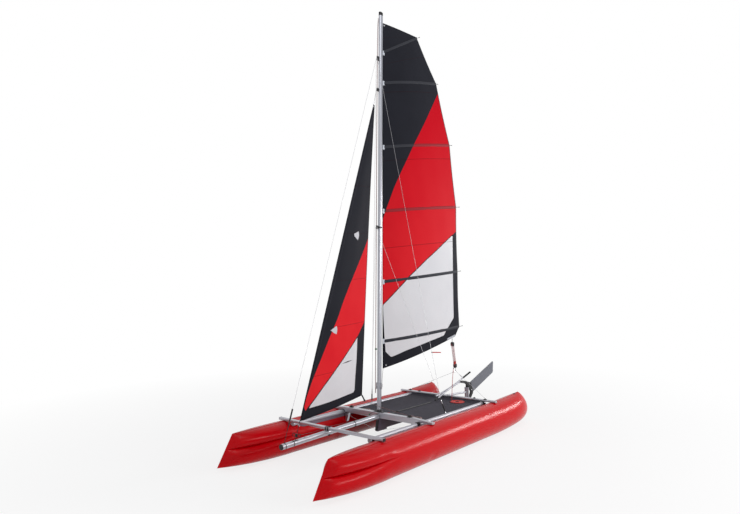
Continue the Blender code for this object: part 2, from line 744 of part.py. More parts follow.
def build_forestay():
    """A link, a turnbuckle and a sleeve at the bowsprit's end, then the wire to the hounds."""
    y = bowsprit_aft_y() - BOWSPRIT_LENGTH + FORESTAY_FOOT_INSET
    foot = bowsprit_top(y) + Vector((0, 0, LINK_RADIUS / 2 + GAP))
    head = stay_end(HOUNDS_HEIGHT) + Vector((0, -0.006, 0))
    along = (head - foot).normalized()
    first = FORESTAY_LINK
    second = first + FORESTAY_TURNBUCKLE
    third = second + FORESTAY_SLEEVE
    profile = [(LINK_RADIUS, 0.0), (LINK_RADIUS, first), (TURNBUCKLE_RADIUS, first), (TURNBUCKLE_RADIUS, second),
               (SLEEVE_RADIUS, second), (SLEEVE_RADIUS, third)]
    add_turned("forestay_adjuster", profile, frame_of(foot, along), BLACK_PLASTIC)
    add_rod("forestay", foot + along * (third + GAP), head, WIRE_DIAMETER / 2, STEEL, sides=8)


def sail_frame():
    """Local X aft along the chord, local Y up the mast, local Z to port, turned to the sail's swing."""
    swing = Matrix.Rotation(math.radians(SAIL_SWING), 3, MAST_AXIS)
    chord = swing.inverted() @ MAST_AFT
    out = chord.cross(MAST_AXIS)
    turn = Matrix((chord, MAST_AXIS, out)).transposed().to_4x4()
    return Matrix.Translation(mast_point(0.0, LUFF_OFFSET)) @ turn


def main_row(v):
    """Luff height, leech height and chord at a row number that may lie between two rows."""
    low = min(int(v), len(MAIN_ROWS) - 2)
    luff, leech, chord = [a + (b - a) * (v - low) for a, b in zip(MAIN_ROWS[low], MAIN_ROWS[low + 1])]
    return MAIN_TACK_HEIGHT + luff * MAIN_LUFF, MAIN_CLEW_HEIGHT + leech * MAIN_LEECH, chord * MAIN_CHORD


def belly(u):
    """How far the camber has come at a share of the chord: deepest ahead of the middle."""
    return 4.0 * u * (1.0 - u) * (1.3 - 0.6 * u)


def main_point(u, v, out=0.0):
    """A point of the mainsail: u from luff to leech, v along the rows, out to its port side."""
    luff, leech, chord = main_row(v)
    slack = TACK_SLACK * max(0.0, 1.0 - v / 6.0)
    x = slack + (chord - slack) * u
    y = luff + (leech - luff) * u
    return Vector((x, y, MAIN_CAMBER * chord * belly(u) + out))


def sheet_solid(name, rows, thickness, look, parent, place):
    """A thin shell over a grid of points, thickened to both sides."""
    mesh = bpy.data.meshes.new(name)
    form = bmesh.new()
    grid = [[form.verts.new(point) for point in row] for row in rows]
    for low, high in zip(grid, grid[1:]):
        for i in range(len(low) - 1):
            form.faces.new((low[i], low[i + 1], high[i + 1], high[i]))
    form.to_mesh(mesh)
    form.free()
    smooth(mesh, 60)
    piece = add_object(name, mesh, look, parent, place)
    shell = piece.modifiers.new("cloth", "SOLIDIFY")
    shell.thickness = thickness
    shell.offset = 0.0
    shell.use_even_offset = True
    return piece


def build_mainsail():
    body = add_empty("mainsail_body", mast_point(0.0, LUFF_OFFSET))
    place = sail_frame()
    rows = [[main_point(u / 10, v / 2) for u in range(11)] for v in range(2 * len(MAIN_ROWS) - 1)]
    sheet_solid("mainsail", rows, SAIL_THICKNESS, SAILCLOTH, body, place)
    out = SAIL_THICKNESS / 2 + BATTEN_SEAT + BATTEN_THICKNESS / 2
    for number, row in enumerate(BATTEN_ROWS, 1):
        tip = 1.0 + BATTEN_TIP / main_row(row)[2]
        strip = []
        for edge in (-BATTEN_WIDTH / 2, BATTEN_WIDTH / 2):
            shares = [0.02 + (tip - 0.02) * i / 10 for i in range(11)]
            strip.append([main_point(u, row, out) + Vector((0, edge, 0)) for u in shares])
        sheet_solid("batten_%d" % number, strip, BATTEN_THICKNESS, BATTEN_CLOTH, body, place)


def luff_point(z):
    """A point on the jib's luff line at a height."""
    return JIB_TACK + LUFF_AXIS * ((z - JIB_TACK.z) / LUFF_AXIS.z)


def jib_frame():
    """Local X aft across the sail, local Y up its luff, local Z to port."""
    side = Vector((1, 0, 0))
    aft = LUFF_AXIS.cross(side)
    return Matrix.Translation(JIB_TACK) @ Matrix((aft, LUFF_AXIS, side)).transposed().to_4x4()


def build_jib():
    body = add_empty("jib_body", JIB_TACK)
    place = jib_frame()
    clew = place.inverted() @ JIB_CLEW
    rows = []
    for j in range(13):
        v = j / 12
        luff = Vector((0.0, JIB_LUFF * v, 0.0))
        leech = clew.lerp(Vector((JIB_HEAD_WIDTH, JIB_LUFF, 0.0)), v)
        depth = JIB_CAMBER * (leech - luff).length
        rows.append([luff.lerp(leech, i / 8) + Vector((0, 0, depth * belly(i / 8))) for i in range(9)])
    sheet_solid("jib", rows, SAIL_THICKNESS, SAILCLOTH, body, place)


def swing_blade(name, outline, thickness, place, look, parent):
    """A board with rounded edges and a hole for its pivot pin at the local origin."""
    piece = add_plate(name, outline, thickness, place, look, parent, bevel=BLADE_EDGE)
    centre = place.translation
    across = Vector((thickness, 0, 0))
    return cut_away(piece, add_rod(name + "_hole", centre - across, centre + across,
                                   PIVOT_PIN_RADIUS + PIN_CLEARANCE, look))


def pin_through(piece, name, place, width, look):
    """Join a pivot pin into a piece, standing out of both its faces."""
    half = Vector((width / 2 + 0.004, 0, 0))
    joined(piece, add_rod(name, place - half, place + half, PIVOT_PIN_RADIUS, look))


def build_centreboard():
    """A case of two cheeks and a front web hangs under the main beam. The board turns on its pin."""
    top = TUBE_TOP_Z - MAIN_BEAM_DROP - GAP
    bottom = TUBE_TOP_Z - CASE_DROP
    face = -MAIN_BEAM_WIDTH / 2 + 0.002
    outline = [(face, top), (face, top - 0.025), (-CASE_FRONT, bottom), (CASE_BACK, bottom), (CASE_TOP_BACK, top)]
    case = add_plate("centreboard_case", outline, CASE_THICKNESS, upright_frame(0.0, 0.0), ALUMINIUM)
    slot_front = BOARD_PIVOT_Y - BOARD_LEADING - CASE_WEB
    slot_top = top - 0.003
    slot = add_box("case_slot", (BOARD_THICKNESS + 2 * SLOT_CLEARANCE, CASE_BACK - slot_front + 0.1, slot_top - bottom + 0.1),
                   (0, (slot_front + CASE_BACK + 0.1) / 2, (slot_top + bottom - 0.1) / 2), ALUMINIUM)
    cut_away(case, slot)
    pin_through(case, "case_pin", BOARD_PIVOT, CASE_THICKNESS, ALUMINIUM)
    body = add_empty("centreboard_body", BOARD_PIVOT)
    corner = 0.05
    board = arc((0.0, 0.0), BOARD_LEADING - CASE_WEB, 250, 110, 8)
    board += [(0.02, BOARD_TRAILING), (BOARD_LENGTH - corner, BOARD_TRAILING), (BOARD_LENGTH, BOARD_TRAILING - corner)]
    board += arc((BOARD_LENGTH - corner, corner - BOARD_LEADING), corner, 0, -90, 4)
    board += [(0.08, -BOARD_LEADING)]
    swing_blade("centreboard", board, BOARD_THICKNESS, upright_frame(BOARD_PIVOT.y, BOARD_PIVOT.z), GREY_FABRIC, body)


def head_outline():
    """Side view of the rudder head: an arm that arches over the stock to the tiller, a solid neck on top
    of the stock, and two cheeks that curve down behind it, round the blade's pivot."""
    leg_front = STOCK_RADIUS + HEAD_CLEARANCE
    arm = [(-0.216, 0.1335), (-0.211, 0.1035), (-0.171, 0.097), (-0.091, 0.081), (-0.033, 0.0645), (-0.004, 0.0435),
           (0.022, 0.020), (leg_front, 0.004), (leg_front, -0.018), (0.070, -0.030)]
    leg = [(-0.038, 0.006), (-0.015, -0.0285), (-0.027, -0.0576), (-0.054, -0.090), (-0.064, -0.1195),
           (-0.048, -0.132), (-0.026, -0.129), (0.013, -0.0875), (0.038, -0.0606), (0.050, -0.0305), (0.031, 0.016),
           (0.002, 0.057), (-0.0035, 0.0944), (-0.021, 0.121)]
    back = [(0.086, 0.0763), (-0.007, 0.104), (-0.111, 0.130), (-0.1865, 0.1336)]
    outline = [(STOCK_Y + y, STOCK_TOP_Z + z) for y, z in arm]
    outline += [(BLADE_PIVOT.y + y, BLADE_PIVOT.z + z) for y, z in leg]
    outline += [(STOCK_Y + y, STOCK_TOP_Z + z) for y, z in back]
    return outline


def build_rudder_mount():
    """An arm from the rear beam carries the stock, which the head turns on."""
    start_y = REAR_BEAM_Y + REAR_BEAM_WIDTH / 2
    start = Vector((0, start_y + GAP, BEAM_Z + REAR_BEAM_HEIGHT / 2))
    end = Vector((0, start_y + ARM_LENGTH - GAP, start.z - ARM_DROP))
    along = (end - start).normalized()
    lean = ARM_RADIUS * -along.z
    add_rod("rudder_arm", start + along * lean, end - along * lean, ARM_RADIUS, ALUMINIUM)
    add_rod("rudder_stock", (0, STOCK_Y, STOCK_TOP_Z - STOCK_LENGTH), (0, STOCK_Y, STOCK_TOP_Z), STOCK_RADIUS,
            ALUMINIUM, sides=20)


def build_rudder():
    steer = add_empty("steering_body", (0, STOCK_Y, STOCK_TOP_Z - STOCK_LENGTH / 2))
    head = add_plate("rudder_head", head_outline(), HEAD_THICKNESS, upright_frame(0.0, 0.0), BLACK_PLASTIC, steer,
                     bevel=0.003)
    slot_top = BLADE_PIVOT.z + BLADE_TONGUE + 0.018
    slot_bottom = slot_top - 0.25
    slot = add_box("head_slot", (BLADE_THICKNESS + 2 * SLOT_CLEARANCE, 0.3, slot_top - slot_bottom),
                   (0, BLADE_PIVOT.y, (slot_top + slot_bottom) / 2), BLACK_PLASTIC)
    cut_away(head, slot)
    pin_through(head, "head_pin", BLADE_PIVOT, HEAD_THICKNESS, BLACK_PLASTIC)
    boss = add_rod("head_boss", (0, STOCK_Y, STOCK_TOP_Z + GAP), (0, STOCK_Y, STOCK_TOP_Z + 0.07), HEAD_BOSS_RADIUS,
                   BLACK_PLASTIC)
    joined(head, boss)
    kick = add_empty("blade_body", BLADE_PIVOT)
    tip = BLADE_LENGTH - BLADE_TIP_SLANT
    blade = arc((0.0, 0.0), BLADE_TONGUE, 270, 90, 8)
    blade += [(BLADE_ROOT, BLADE_TONGUE + 0.006), (BLADE_ROOT, BLADE_TRAILING - 0.010),
              (BLADE_ROOT + 0.010, BLADE_TRAILING), (BLADE_LENGTH - 0.012, BLADE_TRAILING),
              (BLADE_LENGTH, BLADE_TRAILING - 0.012)]
    blade += arc((tip - BLADE_TIP_RADIUS, BLADE_TIP_RADIUS - BLADE_LEADING), BLADE_TIP_RADIUS, 0, -90, 5)
    blade += [(BLADE_ROOT + 0.012, -BLADE_LEADING), (BLADE_ROOT, 0.012 - BLADE_LEADING), (BLADE_ROOT, -BLADE_TONGUE - 0.004)]
    swing_blade("rudder_blade", blade, BLADE_THICKNESS, upright_frame(BLADE_PIVOT.y, BLADE_PIVOT.z, BLADE_LIFT),
                BLADE_GREY, kick)


def build_tiller():
    """The tiller slopes down from the rudder head. Its extension lies folded back beside it on a joint."""
    radius = TILLER_DIAMETER / 2
    steer = bpy.data.objects["steering_body"]
    nose = [Vector((0, y, z)) for y, z in head_outline()[:2]]
    head = (nose[0] + nose[1]) / 2
    along = (head - TILLER_TIP).normalized()
    add_rod("tiller", TILLER_TIP, head - along * (GAP + radius * 0.02), radius, ALUMINIUM, steer, sides=12)
    hinge = TILLER_TIP + Vector((0, JOINT_INSET, 0))
    under = TILLER_TIP.z - radius / along.y - GAP
    swing = add_empty("extension_body", hinge)
    start = Vector((EXTENSION_OFFSET, TILLER_TIP.y - EXTENSION_OVERLAP, TUBE_TOP_Z + EXTENSION_RISE))
    slope = math.radians(EXTENSION_SLOPE)
    aim = Vector((0, math.cos(slope), math.sin(slope)))
    end = start + aim * EXTENSION_LENGTH
    grip = end - aim * GRIP_LENGTH
    sleeve = start + aim * JOINT_SLEEVE
    pin_low = start.z + JOINT_RADIUS / 2
    joint = add_rod("tiller_joint", start, sleeve, EXTENSION_RADIUS, BLACK_PLASTIC, swing, sides=12)
    elbow = Vector((hinge.x, hinge.y, pin_low + JOINT_RADIUS))
    joined(joint, add_rod("joint_pin", (hinge.x, hinge.y, pin_low), (hinge.x, hinge.y, under), JOINT_RADIUS,
                          BLACK_PLASTIC, sides=12))
    joined(joint, add_rod("joint_link", elbow, sleeve - aim * 0.03, JOINT_RADIUS * 0.85, BLACK_PLASTIC, sides=12))
    add_rod("tiller_extension", sleeve + aim * GAP, grip, EXTENSION_RADIUS, ALUMINIUM, swing, sides=12)
    add_rod("extension_grip", grip + aim * GAP, end, GRIP_RADIUS, BLACK_PLASTIC, swing, sides=12)


def block_frame(centre, along):
    """Local X along the falls, local Y across them and local Z along the sheave's pin."""
    x_axis = Vector(along).normalized()
    pin = Vector((1, 0, 0))
    pin = (pin - x_axis * pin.dot(x_axis)).normalized()
    side = pin.cross(x_axis)
    return Matrix.Translation(centre) @ Matrix((x_axis, side, pin)).transposed().to_4x4()


def add_block(name, centre, along, link_end, body):
    """A pulley block: two cheeks and a head, a wide sheave on its pin, and a link out of the head."""
    place = block_frame(centre, along)
    outline = rounded_rectangle(BLOCK_HEIGHT, BLOCK_LENGTH, BLOCK_LENGTH * 0.4, steps=4)
    block = add_plate(name, outline, BLOCK_WIDTH, place, BLACK_PLASTIC, body, bevel=0.003)
    head = BLOCK_HEAD - BLOCK_HEIGHT / 2
    reach = BLOCK_HEIGHT / 2 + 0.02 - head
    slot = add_box(name + "_slot", (reach, BLOCK_LENGTH * 1.5, BLOCK_SLOT), place @ Vector((head + reach / 2, 0, 0)),
                   BLACK_PLASTIC, turn=place.to_3x3().to_4x4())
    cut_away(block, slot)
    half = Vector((0, 0, SHEAVE_WIDTH / 2))
    middle = Vector((SHEAVE_OFFSET, 0, 0))
    pin = Vector((0, 0, BLOCK_WIDTH / 2 - 0.002))
    joined(block, add_rod(name + "_pin", place @ (middle - pin), place @ (middle + pin), 0.005, STEEL, sides=12))
    joined(block, add_rod(name + "_sheave", place @ (middle - half), place @ (middle + half), SHEAVE_RADIUS, STEEL))
    root = place @ Vector((0.004 - BLOCK_HEIGHT / 2, 0, 0))
    joined(block, add_rod(name + "_link", root, link_end, BLOCK_LINK_RADIUS, STEEL, sides=12))
    return block


def sheet_places():
    """Centres of the two mainsheet blocks, the foot point that the upper hangs from, and the bridle's apex."""
    foot = sail_frame() @ main_point(SHEET_FOOT_SHARE, 0.0)
    foot -= MAST_AXIS * 0.0018 * (SAIL_THICKNESS / 0.004)
    upper = foot + Vector((-0.006, 0.013, -UPPER_BLOCK_DROP))
    lean = math.radians(FALLS_LEAN)
    swing = math.radians(20.0)
    aim = Vector((-math.sin(swing) * math.sin(lean), math.cos(swing) * math.sin(lean), -math.cos(lean)))
    lower = upper + aim * FALLS_LENGTH
    apex = lower + aim * (BLOCK_HEIGHT / 2 + LOWER_LINK)
    return upper, lower, foot, apex, aim


def falls_route(upper, lower, aim):
    """The mainsheet's route round the two sheaves, four falls from the upper block's head and back to it."""
    radius = SHEAVE_RADIUS + ROPE_DIAMETER / 2 + 0.0012
    top = block_frame(upper, aim)
    side = top.to_3x3() @ Vector((0, 1, 0))
    pin = top.to_3x3() @ Vector((0, 0, 1))
    high = upper + aim * SHEAVE_OFFSET
    low = lower - aim * SHEAVE_OFFSET
    start = upper + aim * (BLOCK_HEAD - BLOCK_HEIGHT / 2 + 0.0006)
    turn = [math.radians(180 * k / 8) for k in range(9)]
    route = [start + side * radius + pin * FALLS_SPREAD]
    route += [low + side * radius * math.cos(a) + aim * radius * math.sin(a) + pin * FALLS_SPREAD for a in turn]
    route += [high - side * radius * math.cos(a) - aim * radius * math.sin(a)
              + pin * FALLS_SPREAD * (1 - 2 * a / math.pi) for a in turn]
    route += [low + side * radius * math.cos(a) + aim * radius * math.sin(a) - pin * FALLS_SPREAD for a in turn]
    route.append(start - side * radius - pin * FALLS_SPREAD)
    return route


def add_coil(name, x, y, radius, hole, diameter, look):
    """The outer form of rope coiled flat on the trampoline."""
    bottom = DECK_Z + GAP
    outline = arc((0.0, 0.0), radius, 0, 360, 32)[:-1]
    coil = add_plate(name, outline, diameter, Matrix.Translation((x, y, bottom + diameter / 2)), look)
    cutter = add_rod(name + "_hole", (x, y, bottom - 0.01), (x, y, bottom + diameter + 0.01), hole, look)
    return cut_away(coil, cutter)


def build_mainsheet():
    """Blocks under the sail's foot and over the bridle, the falls, and the tail that lies coiled on deck."""
    body = bpy.data.objects["mainsail_body"]
    upper, lower, foot, apex, aim = sheet_places()
    add_block("mainsheet_upper_block", upper, aim, foot, body)
    block = add_block("mainsheet_lower_block", lower, -aim, apex - aim * (SHEET_DIAMETER / 2 + GAP), body)
    arm_root = lower + aim * 0.0265
    arm_end = lower + Vector((-0.006, -0.048, -0.044))
    joined(block, add_rod("cleat_arm", arm_root, arm_end, CLEAT_ARM_RADIUS, BLACK_PLASTIC, sides=12))
    add_wire("mainsheet_falls", falls_route(upper, lower, aim), ROPE_DIAMETER / 2, ROPE_RED, body, resolution=2)
    beam_top = BEAM_Z + REAR_BEAM_HEIGHT
    foot_z = beam_top + SHEET_DIAMETER / 2
    bridle = [(BRIDLE_SPREAD, REAR_BEAM_Y, foot_z), apex, (-BRIDLE_SPREAD, REAR_BEAM_Y, foot_z)]
    add_wire("mainsheet_bridle", bridle, SHEET_DIAMETER / 2, ROPE_BLACK)
    add_coil("mainsheet_coil", COIL_CENTRE_X, COIL_CENTRE_Y, COIL_RADIUS, COIL_HOLE, ROPE_DIAMETER, ROPE_RED)
    level = DECK_Z + GAP + ROPE_DIAMETER / 2
    rim = Vector((-0.94, 0.34, 0.0)).normalized()
    edge = Vector((COIL_CENTRE_X, COIL_CENTRE_Y, level)) + rim * (COIL_RADIUS + 0.0006)
    start = arm_end + (arm_root - arm_end).normalized() * 0.007 - Vector((0, 0, CLEAT_ARM_RADIUS + 0.0026))
    drop = start.z - level
    knots = [start, start + Vector((-0.006, -0.008, -0.11 * drop)), start + Vector((-0.016, -0.012, -0.33 * drop)),
             start + Vector((-0.028, -0.016, -0.62 * drop)), start + Vector((-0.040, -0.008, -0.88 * drop)),
             edge + rim * 0.028 + Vector((0, 0, 0.010)), edge + rim * 0.012 + Vector((0, 0, 0.0008)), edge]
    add_wire("mainsheet_tail", smooth_route(knots, 5), ROPE_DIAMETER / 2, ROPE_RED, resolution=2)


def build_furler():
    """The furler's spool under the jib's tack, and the swivel and halyard at its head."""
    body = bpy.data.objects["jib_body"]
    tack = JIB_TACK - LUFF_AXIS * GAP
    axis_foot = luff_point(bowsprit_top(JIB_TACK.y).z)
    foot = luff_point(bowsprit_top(axis_foot.y).z + 0.0018)
    drum = luff_point(TUBE_TOP_Z + DRUM_RISE)
    low = (drum - foot).length - DRUM_HEIGHT / 2
    high = low + DRUM_HEIGHT
    stem = 0.004
    profile = [(stem, 0.0), (stem, low), (DRUM_RADIUS, low), (DRUM_RADIUS, low + DRUM_FLANGE),
               (DRUM_WAIST, low + DRUM_FLANGE), (DRUM_WAIST, high - DRUM_FLANGE), (DRUM_RADIUS, high - DRUM_FLANGE),
               (DRUM_RADIUS, high), (stem, high), (stem, (tack - foot).length)]
    add_turned("furler_drum", profile, frame_of(foot, LUFF_AXIS), BLACK_PLASTIC, body, steps=20)
    top = JIB_HEAD + LUFF_AXIS * SWIVEL_LENGTH
    add_rod("jib_swivel", JIB_HEAD + LUFF_AXIS * GAP, top, 0.008, STEEL, body, sides=12)
    block = mast_point(HALYARD_BLOCK_HEIGHT, -MAST_CHORD / 2 - TANG_REACH - 0.004)
    add_rod("jib_halyard", top + LUFF_AXIS * 0.0006, block, WIRE_DIAMETER / 2, ROPE_BLACK, sides=8)


def build_jib_sheet():
    """Clew block, cam cleats on the main beam, the sheet between them and its two coiled tails."""
    body = bpy.data.objects["jib_body"]
    lean = math.radians(CLEW_BLOCK_LEAN)
    drop = Vector((0, math.sin(lean), -math.cos(lean)))
    end = JIB_CLEW + drop * CLEW_BLOCK_LENGTH
    add_rod("jib_clew_block", JIB_CLEW + drop * 0.0005, end, 0.010, BLACK_PLASTIC, body, sides=12)
    deck = MAIN_TOP_Z + GAP
    for side, sign in SIDES:
        x = sign * CLEAT_X
        cleat = add_box("jib_cleat_" + side, (CLEAT_LENGTH, CLEAT_WIDTH, CLEAT_BASE), (x, 0, deck + CLEAT_BASE / 2),
                        BLACK_PLASTIC, bevel=0.002)
        for place, y in (("fore", -CAM_OFFSET), ("aft", CAM_OFFSET)):
            cam = add_rod("cam_%s_%s" % (place, side), (x, y, deck + CLEAT_BASE / 2),
                          (x, y, deck + CLEAT_BASE + CAM_HEIGHT), CAM_RADIUS, BLACK_PLASTIC)
            joined(cleat, cam)
        add_coil("jib_sheet_coil_" + side, sign * JIB_COIL_X, JIB_COIL_Y, JIB_COIL_RADIUS, JIB_COIL_HOLE,
                 ROPE_DIAMETER, ROPE_BROWN)
    jaw = deck + CLEAT_BASE + SHEET_DIAMETER
    level = DECK_Z + GAP + ROPE_DIAMETER / 2
    back = MAIN_BEAM_WIDTH / 2 + SHEET_DIAMETER
    toward = Vector((JIB_COIL_X, JIB_COIL_Y, 0)) - Vector((CLEAT_X, 0.125, 0))
    toward.normalize()
    rim = Vector((JIB_COIL_X, JIB_COIL_Y, level)) - toward * (JIB_COIL_RADIUS + 0.0006)
    tail = [Vector((CLEAT_X - 0.020, 0, jaw)), Vector((CLEAT_X + 0.018, 0, jaw)),
            Vector((CLEAT_X + 0.038, 0.004, jaw)), Vector((CLEAT_X + 0.050, back - 0.016, jaw - 0.003)),
            Vector((CLEAT_X + 0.049, back + 0.006, jaw - 0.020)), Vector((CLEAT_X + 0.036, back + 0.028, DECK_Z + 0.030)),
            Vector((CLEAT_X + 0.015, back + 0.060, level + 0.006)), rim - toward * 0.02, rim]
    port = smooth_route(tail, 4)
    starboard = [Vector((-point.x, point.y, point.z)) for point in port]
    low = end + Vector((0, 0.010, -0.008))
    add_wire("jib_sheet", port[::-1] + [low] + starboard, SHEET_DIAMETER / 2, ROPE_BROWN, resolution=1)


def centre_boat():
    """Put the origin on the ground under the middle of the boat's length."""
    bpy.context.view_layer.update()
    depsgraph = bpy.context.evaluated_depsgraph_get()
    low = math.inf
    high = -math.inf
    for piece in boat_collection.objects:
        if piece.type == "EMPTY":
            continue
        shape = piece.evaluated_get(depsgraph)
        places = [(piece.matrix_world @ vertex.co).y for vertex in shape.to_mesh().vertices]
        low = min(low, *places)
        high = max(high, *places)
        shape.to_mesh_clear()
    shift = Matrix.Translation((0, -(low + high) / 2, 0))
    for piece in list(boat_collection.objects) + list(cutter_collection.objects):
        if piece.parent is None:
            piece.matrix_world = shift @ piece.matrix_world


build_hulls()
build_pads()
build_frame()
build_beam_brackets()
build_deck()
build_mast()
build_fittings()
build_shrouds()
build_bowsprit()
build_forestay()
build_mainsail()
build_jib()
build_centreboard()
build_rudder_mount()
build_rudder()
build_tiller()
build_mainsheet()
build_furler()
build_jib_sheet()
centre_boat()
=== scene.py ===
"""Looks of the inflatable sailing catamaran: cloth, ropes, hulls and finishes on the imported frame.

Metres, +Z up, bow towards -Y, port towards +X. Places are given with Y = 0 at the mast, as in the part's
source, and at() moves them to the frame's own origin.
"""
import math

import bmesh
import bpy
from mathutils import Matrix, Vector


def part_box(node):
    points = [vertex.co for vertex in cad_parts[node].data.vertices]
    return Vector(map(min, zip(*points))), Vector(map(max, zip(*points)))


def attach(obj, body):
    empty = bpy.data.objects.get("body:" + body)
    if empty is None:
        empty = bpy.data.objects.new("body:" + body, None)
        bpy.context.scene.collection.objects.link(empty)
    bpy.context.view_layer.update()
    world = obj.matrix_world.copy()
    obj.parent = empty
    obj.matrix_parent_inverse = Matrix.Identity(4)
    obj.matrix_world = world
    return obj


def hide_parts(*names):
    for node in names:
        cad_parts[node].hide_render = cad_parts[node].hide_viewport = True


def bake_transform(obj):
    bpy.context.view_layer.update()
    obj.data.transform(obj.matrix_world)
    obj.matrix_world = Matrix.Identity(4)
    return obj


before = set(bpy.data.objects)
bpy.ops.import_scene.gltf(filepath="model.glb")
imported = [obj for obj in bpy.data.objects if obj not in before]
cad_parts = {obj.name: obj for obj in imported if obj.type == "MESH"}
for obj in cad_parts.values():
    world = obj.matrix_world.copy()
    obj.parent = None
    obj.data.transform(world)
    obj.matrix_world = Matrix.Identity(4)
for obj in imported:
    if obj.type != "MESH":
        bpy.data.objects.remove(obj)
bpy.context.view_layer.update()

FRONT_BEAM_Y = -1.044
SHIFT = (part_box("front_beam")[0].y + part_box("front_beam")[1].y) / 2 - FRONT_BEAM_Y

HULL_SPACING = 1.772
HULL_RADIUS = 0.2325
HULL_LENGTH = 5.004
BOW_FORWARD = 2.115
BOW_RAKE = 0.214
STEM_REACH = 0.026
BOW_TAPER = 1.05
BOW_REACH = 1.20
BOW_LIFT = 0.072
BOW_TOP_DROP = 0.008
CREASE_DEPTH = 0.66
STERN_TAPER = 0.62
STERN_LIFT = 0.082
STERN_TOP_RISE = 0.050
STERN_RISE = 1.269
STERN_UNDERCUT = 0.075
STERN_OVERHANG = 0.31
SEAM_HALF_WIDTH = 0.006
STEM_FLANGE = 0.022
STEM_CORNER = 0.034
WRINKLE_AT = 1.90
STERN_CUT = 0.070
STERN_NARROWING = 0.80
STERN_CORNER = 0.050
TUBE_OVERHANG = 0.006
HULL_X = HULL_SPACING / 2
SIDES = (("port", 1), ("starboard", -1))

TUBE_X = 0.717
TUBE_Z = 0.43998
TUBE_RADIUS = 0.030
TUBE_TOP_Z = 0.46998
BEAM_Z = 0.47028
MAIN_TOP_Z = 0.51578
REAR_BEAM_Y = 1.739
REAR_BEAM_HEIGHT = 0.030
DECK_Z = 0.44298
MAST_STEP_Z = 0.55438
MAST_RAKE = math.radians(2.17)
MAST_AXIS = Vector((0.0, math.sin(MAST_RAKE), math.cos(MAST_RAKE)))
MAST_AFT = Vector((0.0, math.cos(MAST_RAKE), -math.sin(MAST_RAKE)))
MAST_CHORD = 0.075
MAST_HALF_WIDTH = 0.0275
MAST_HALF_CHORD = 0.0375
MAST_TOP = 6.0172
LOWER_HOUNDS = 2.667
UPPER_HOUNDS = 5.275
STAY_OFFSET = 0.055
LUFF_OFFSET = 0.0388
STOCK_Y = REAR_BEAM_Y + 0.0275 + 0.6035 + 0.038
STOCK_TOP_Z = TUBE_TOP_Z + 0.060
TILLER_REACH = 0.965
CLEAT_X = 0.556

FLOOR_HALF_SIZE = 60.0
FLOOR_FADE = {"From Min": 3.0, "From Max": 9.0, "To Min": 0.80, "To Max": 1.0}
SURROUND_STRENGTH = 0.34

BOLT_HEAD = ((0.0065, 0.0), (0.0065, 0.003), (0.004, 0.0045), (0.001, 0.005))
SEAM_TAPE_LIFT = 0.0012
POCKET_HALF_WIDTH = 0.0235
POCKET_SECTION = ((-1.0, 0.0006), (-0.86, 0.0010), (-0.4, 0.0042), (0.0, 0.0056), (0.4, 0.0042),
                  (0.86, 0.0010), (1.0, 0.0006))
BATTEN_REACH = {1: 0.085, 2: 0.085, 3: 0.090, 4: 0.060, 5: 0.048, 6: 0.078}
CAR_SIZE = (0.036, 0.074, 0.020)
CAR_OFFSET = 0.0185
TOP_CAR_OFFSET = 0.0235

# Each look's material slot.
LOOKS_BY_SLOT = {
    "steel": ("steel", "wire"),
    "aluminium": ("tube_y", "tube_z"),
    "black_plastic": ("plastic", "white_plastic", "grey_plastic", "rubber", "green", "red_bead"),
    "rope": ("red_rope", "coil_rope", "brown_rope", "dark_rope", "falls_rope", "halyard_rope", "red_halyard",
             "webbing", "vane"),
    "pad_fabric": ("pad", "piping"),
    "sailcloth": ("grey_webbing",),
    "mesh": ("deck",),
}
SLOT_OF_LOOK = {look: slot for slot, looks in LOOKS_BY_SLOT.items() for look in looks}

SAIL_SWING = 13.5
MAIN_TACK_HEIGHT = 0.577
MAIN_LUFF = 5.309
MAIN_CLEW_HEIGHT = 1.009
MAIN_LEECH = 4.847
MAIN_CHORD = 1.595
MAIN_CAMBER = 0.055
TACK_SLACK = 0.028
MAIN_ROWS = (
    (0.0, 0.0, 0.937),
    (0.075, 0.033, 1.0),
    (0.241, 0.220, 0.982),
    (0.442, 0.442, 0.969),
    (0.628, 0.655, 0.882),
    (0.818, 0.859, 0.698),
    (0.909, 0.997, 0.438),
    (1.0, 1.0, 0.438),
)
JIB_SLOPE = math.radians(19.217)
JIB_AXIS = Vector((0.0, math.sin(JIB_SLOPE), math.cos(JIB_SLOPE)))
JIB_TACK = Vector((0.0, -1.5306, TUBE_TOP_Z + 0.1965))
JIB_CLEW = Vector((0.0, -0.3665, TUBE_TOP_Z + 0.3403))
JIB_LUFF = 4.6726
JIB_HEAD_WIDTH = 0.030
JIB_CAMBER = 0.035

ROPE_RADIUS = 0.004
SHEET_DIAMETER = 0.006
FALLS_LENGTH = 0.391
FALLS_LEAN = 22.2
BRIDLE_SPREAD = 0.766
COIL_CENTRE_X = 0.333
COIL_CENTRE_Y = 1.567
COIL_PITCH = 0.0083
COIL_TURNS = 11.4
JIB_COIL_X = 0.490
JIB_COIL_Y = 0.250

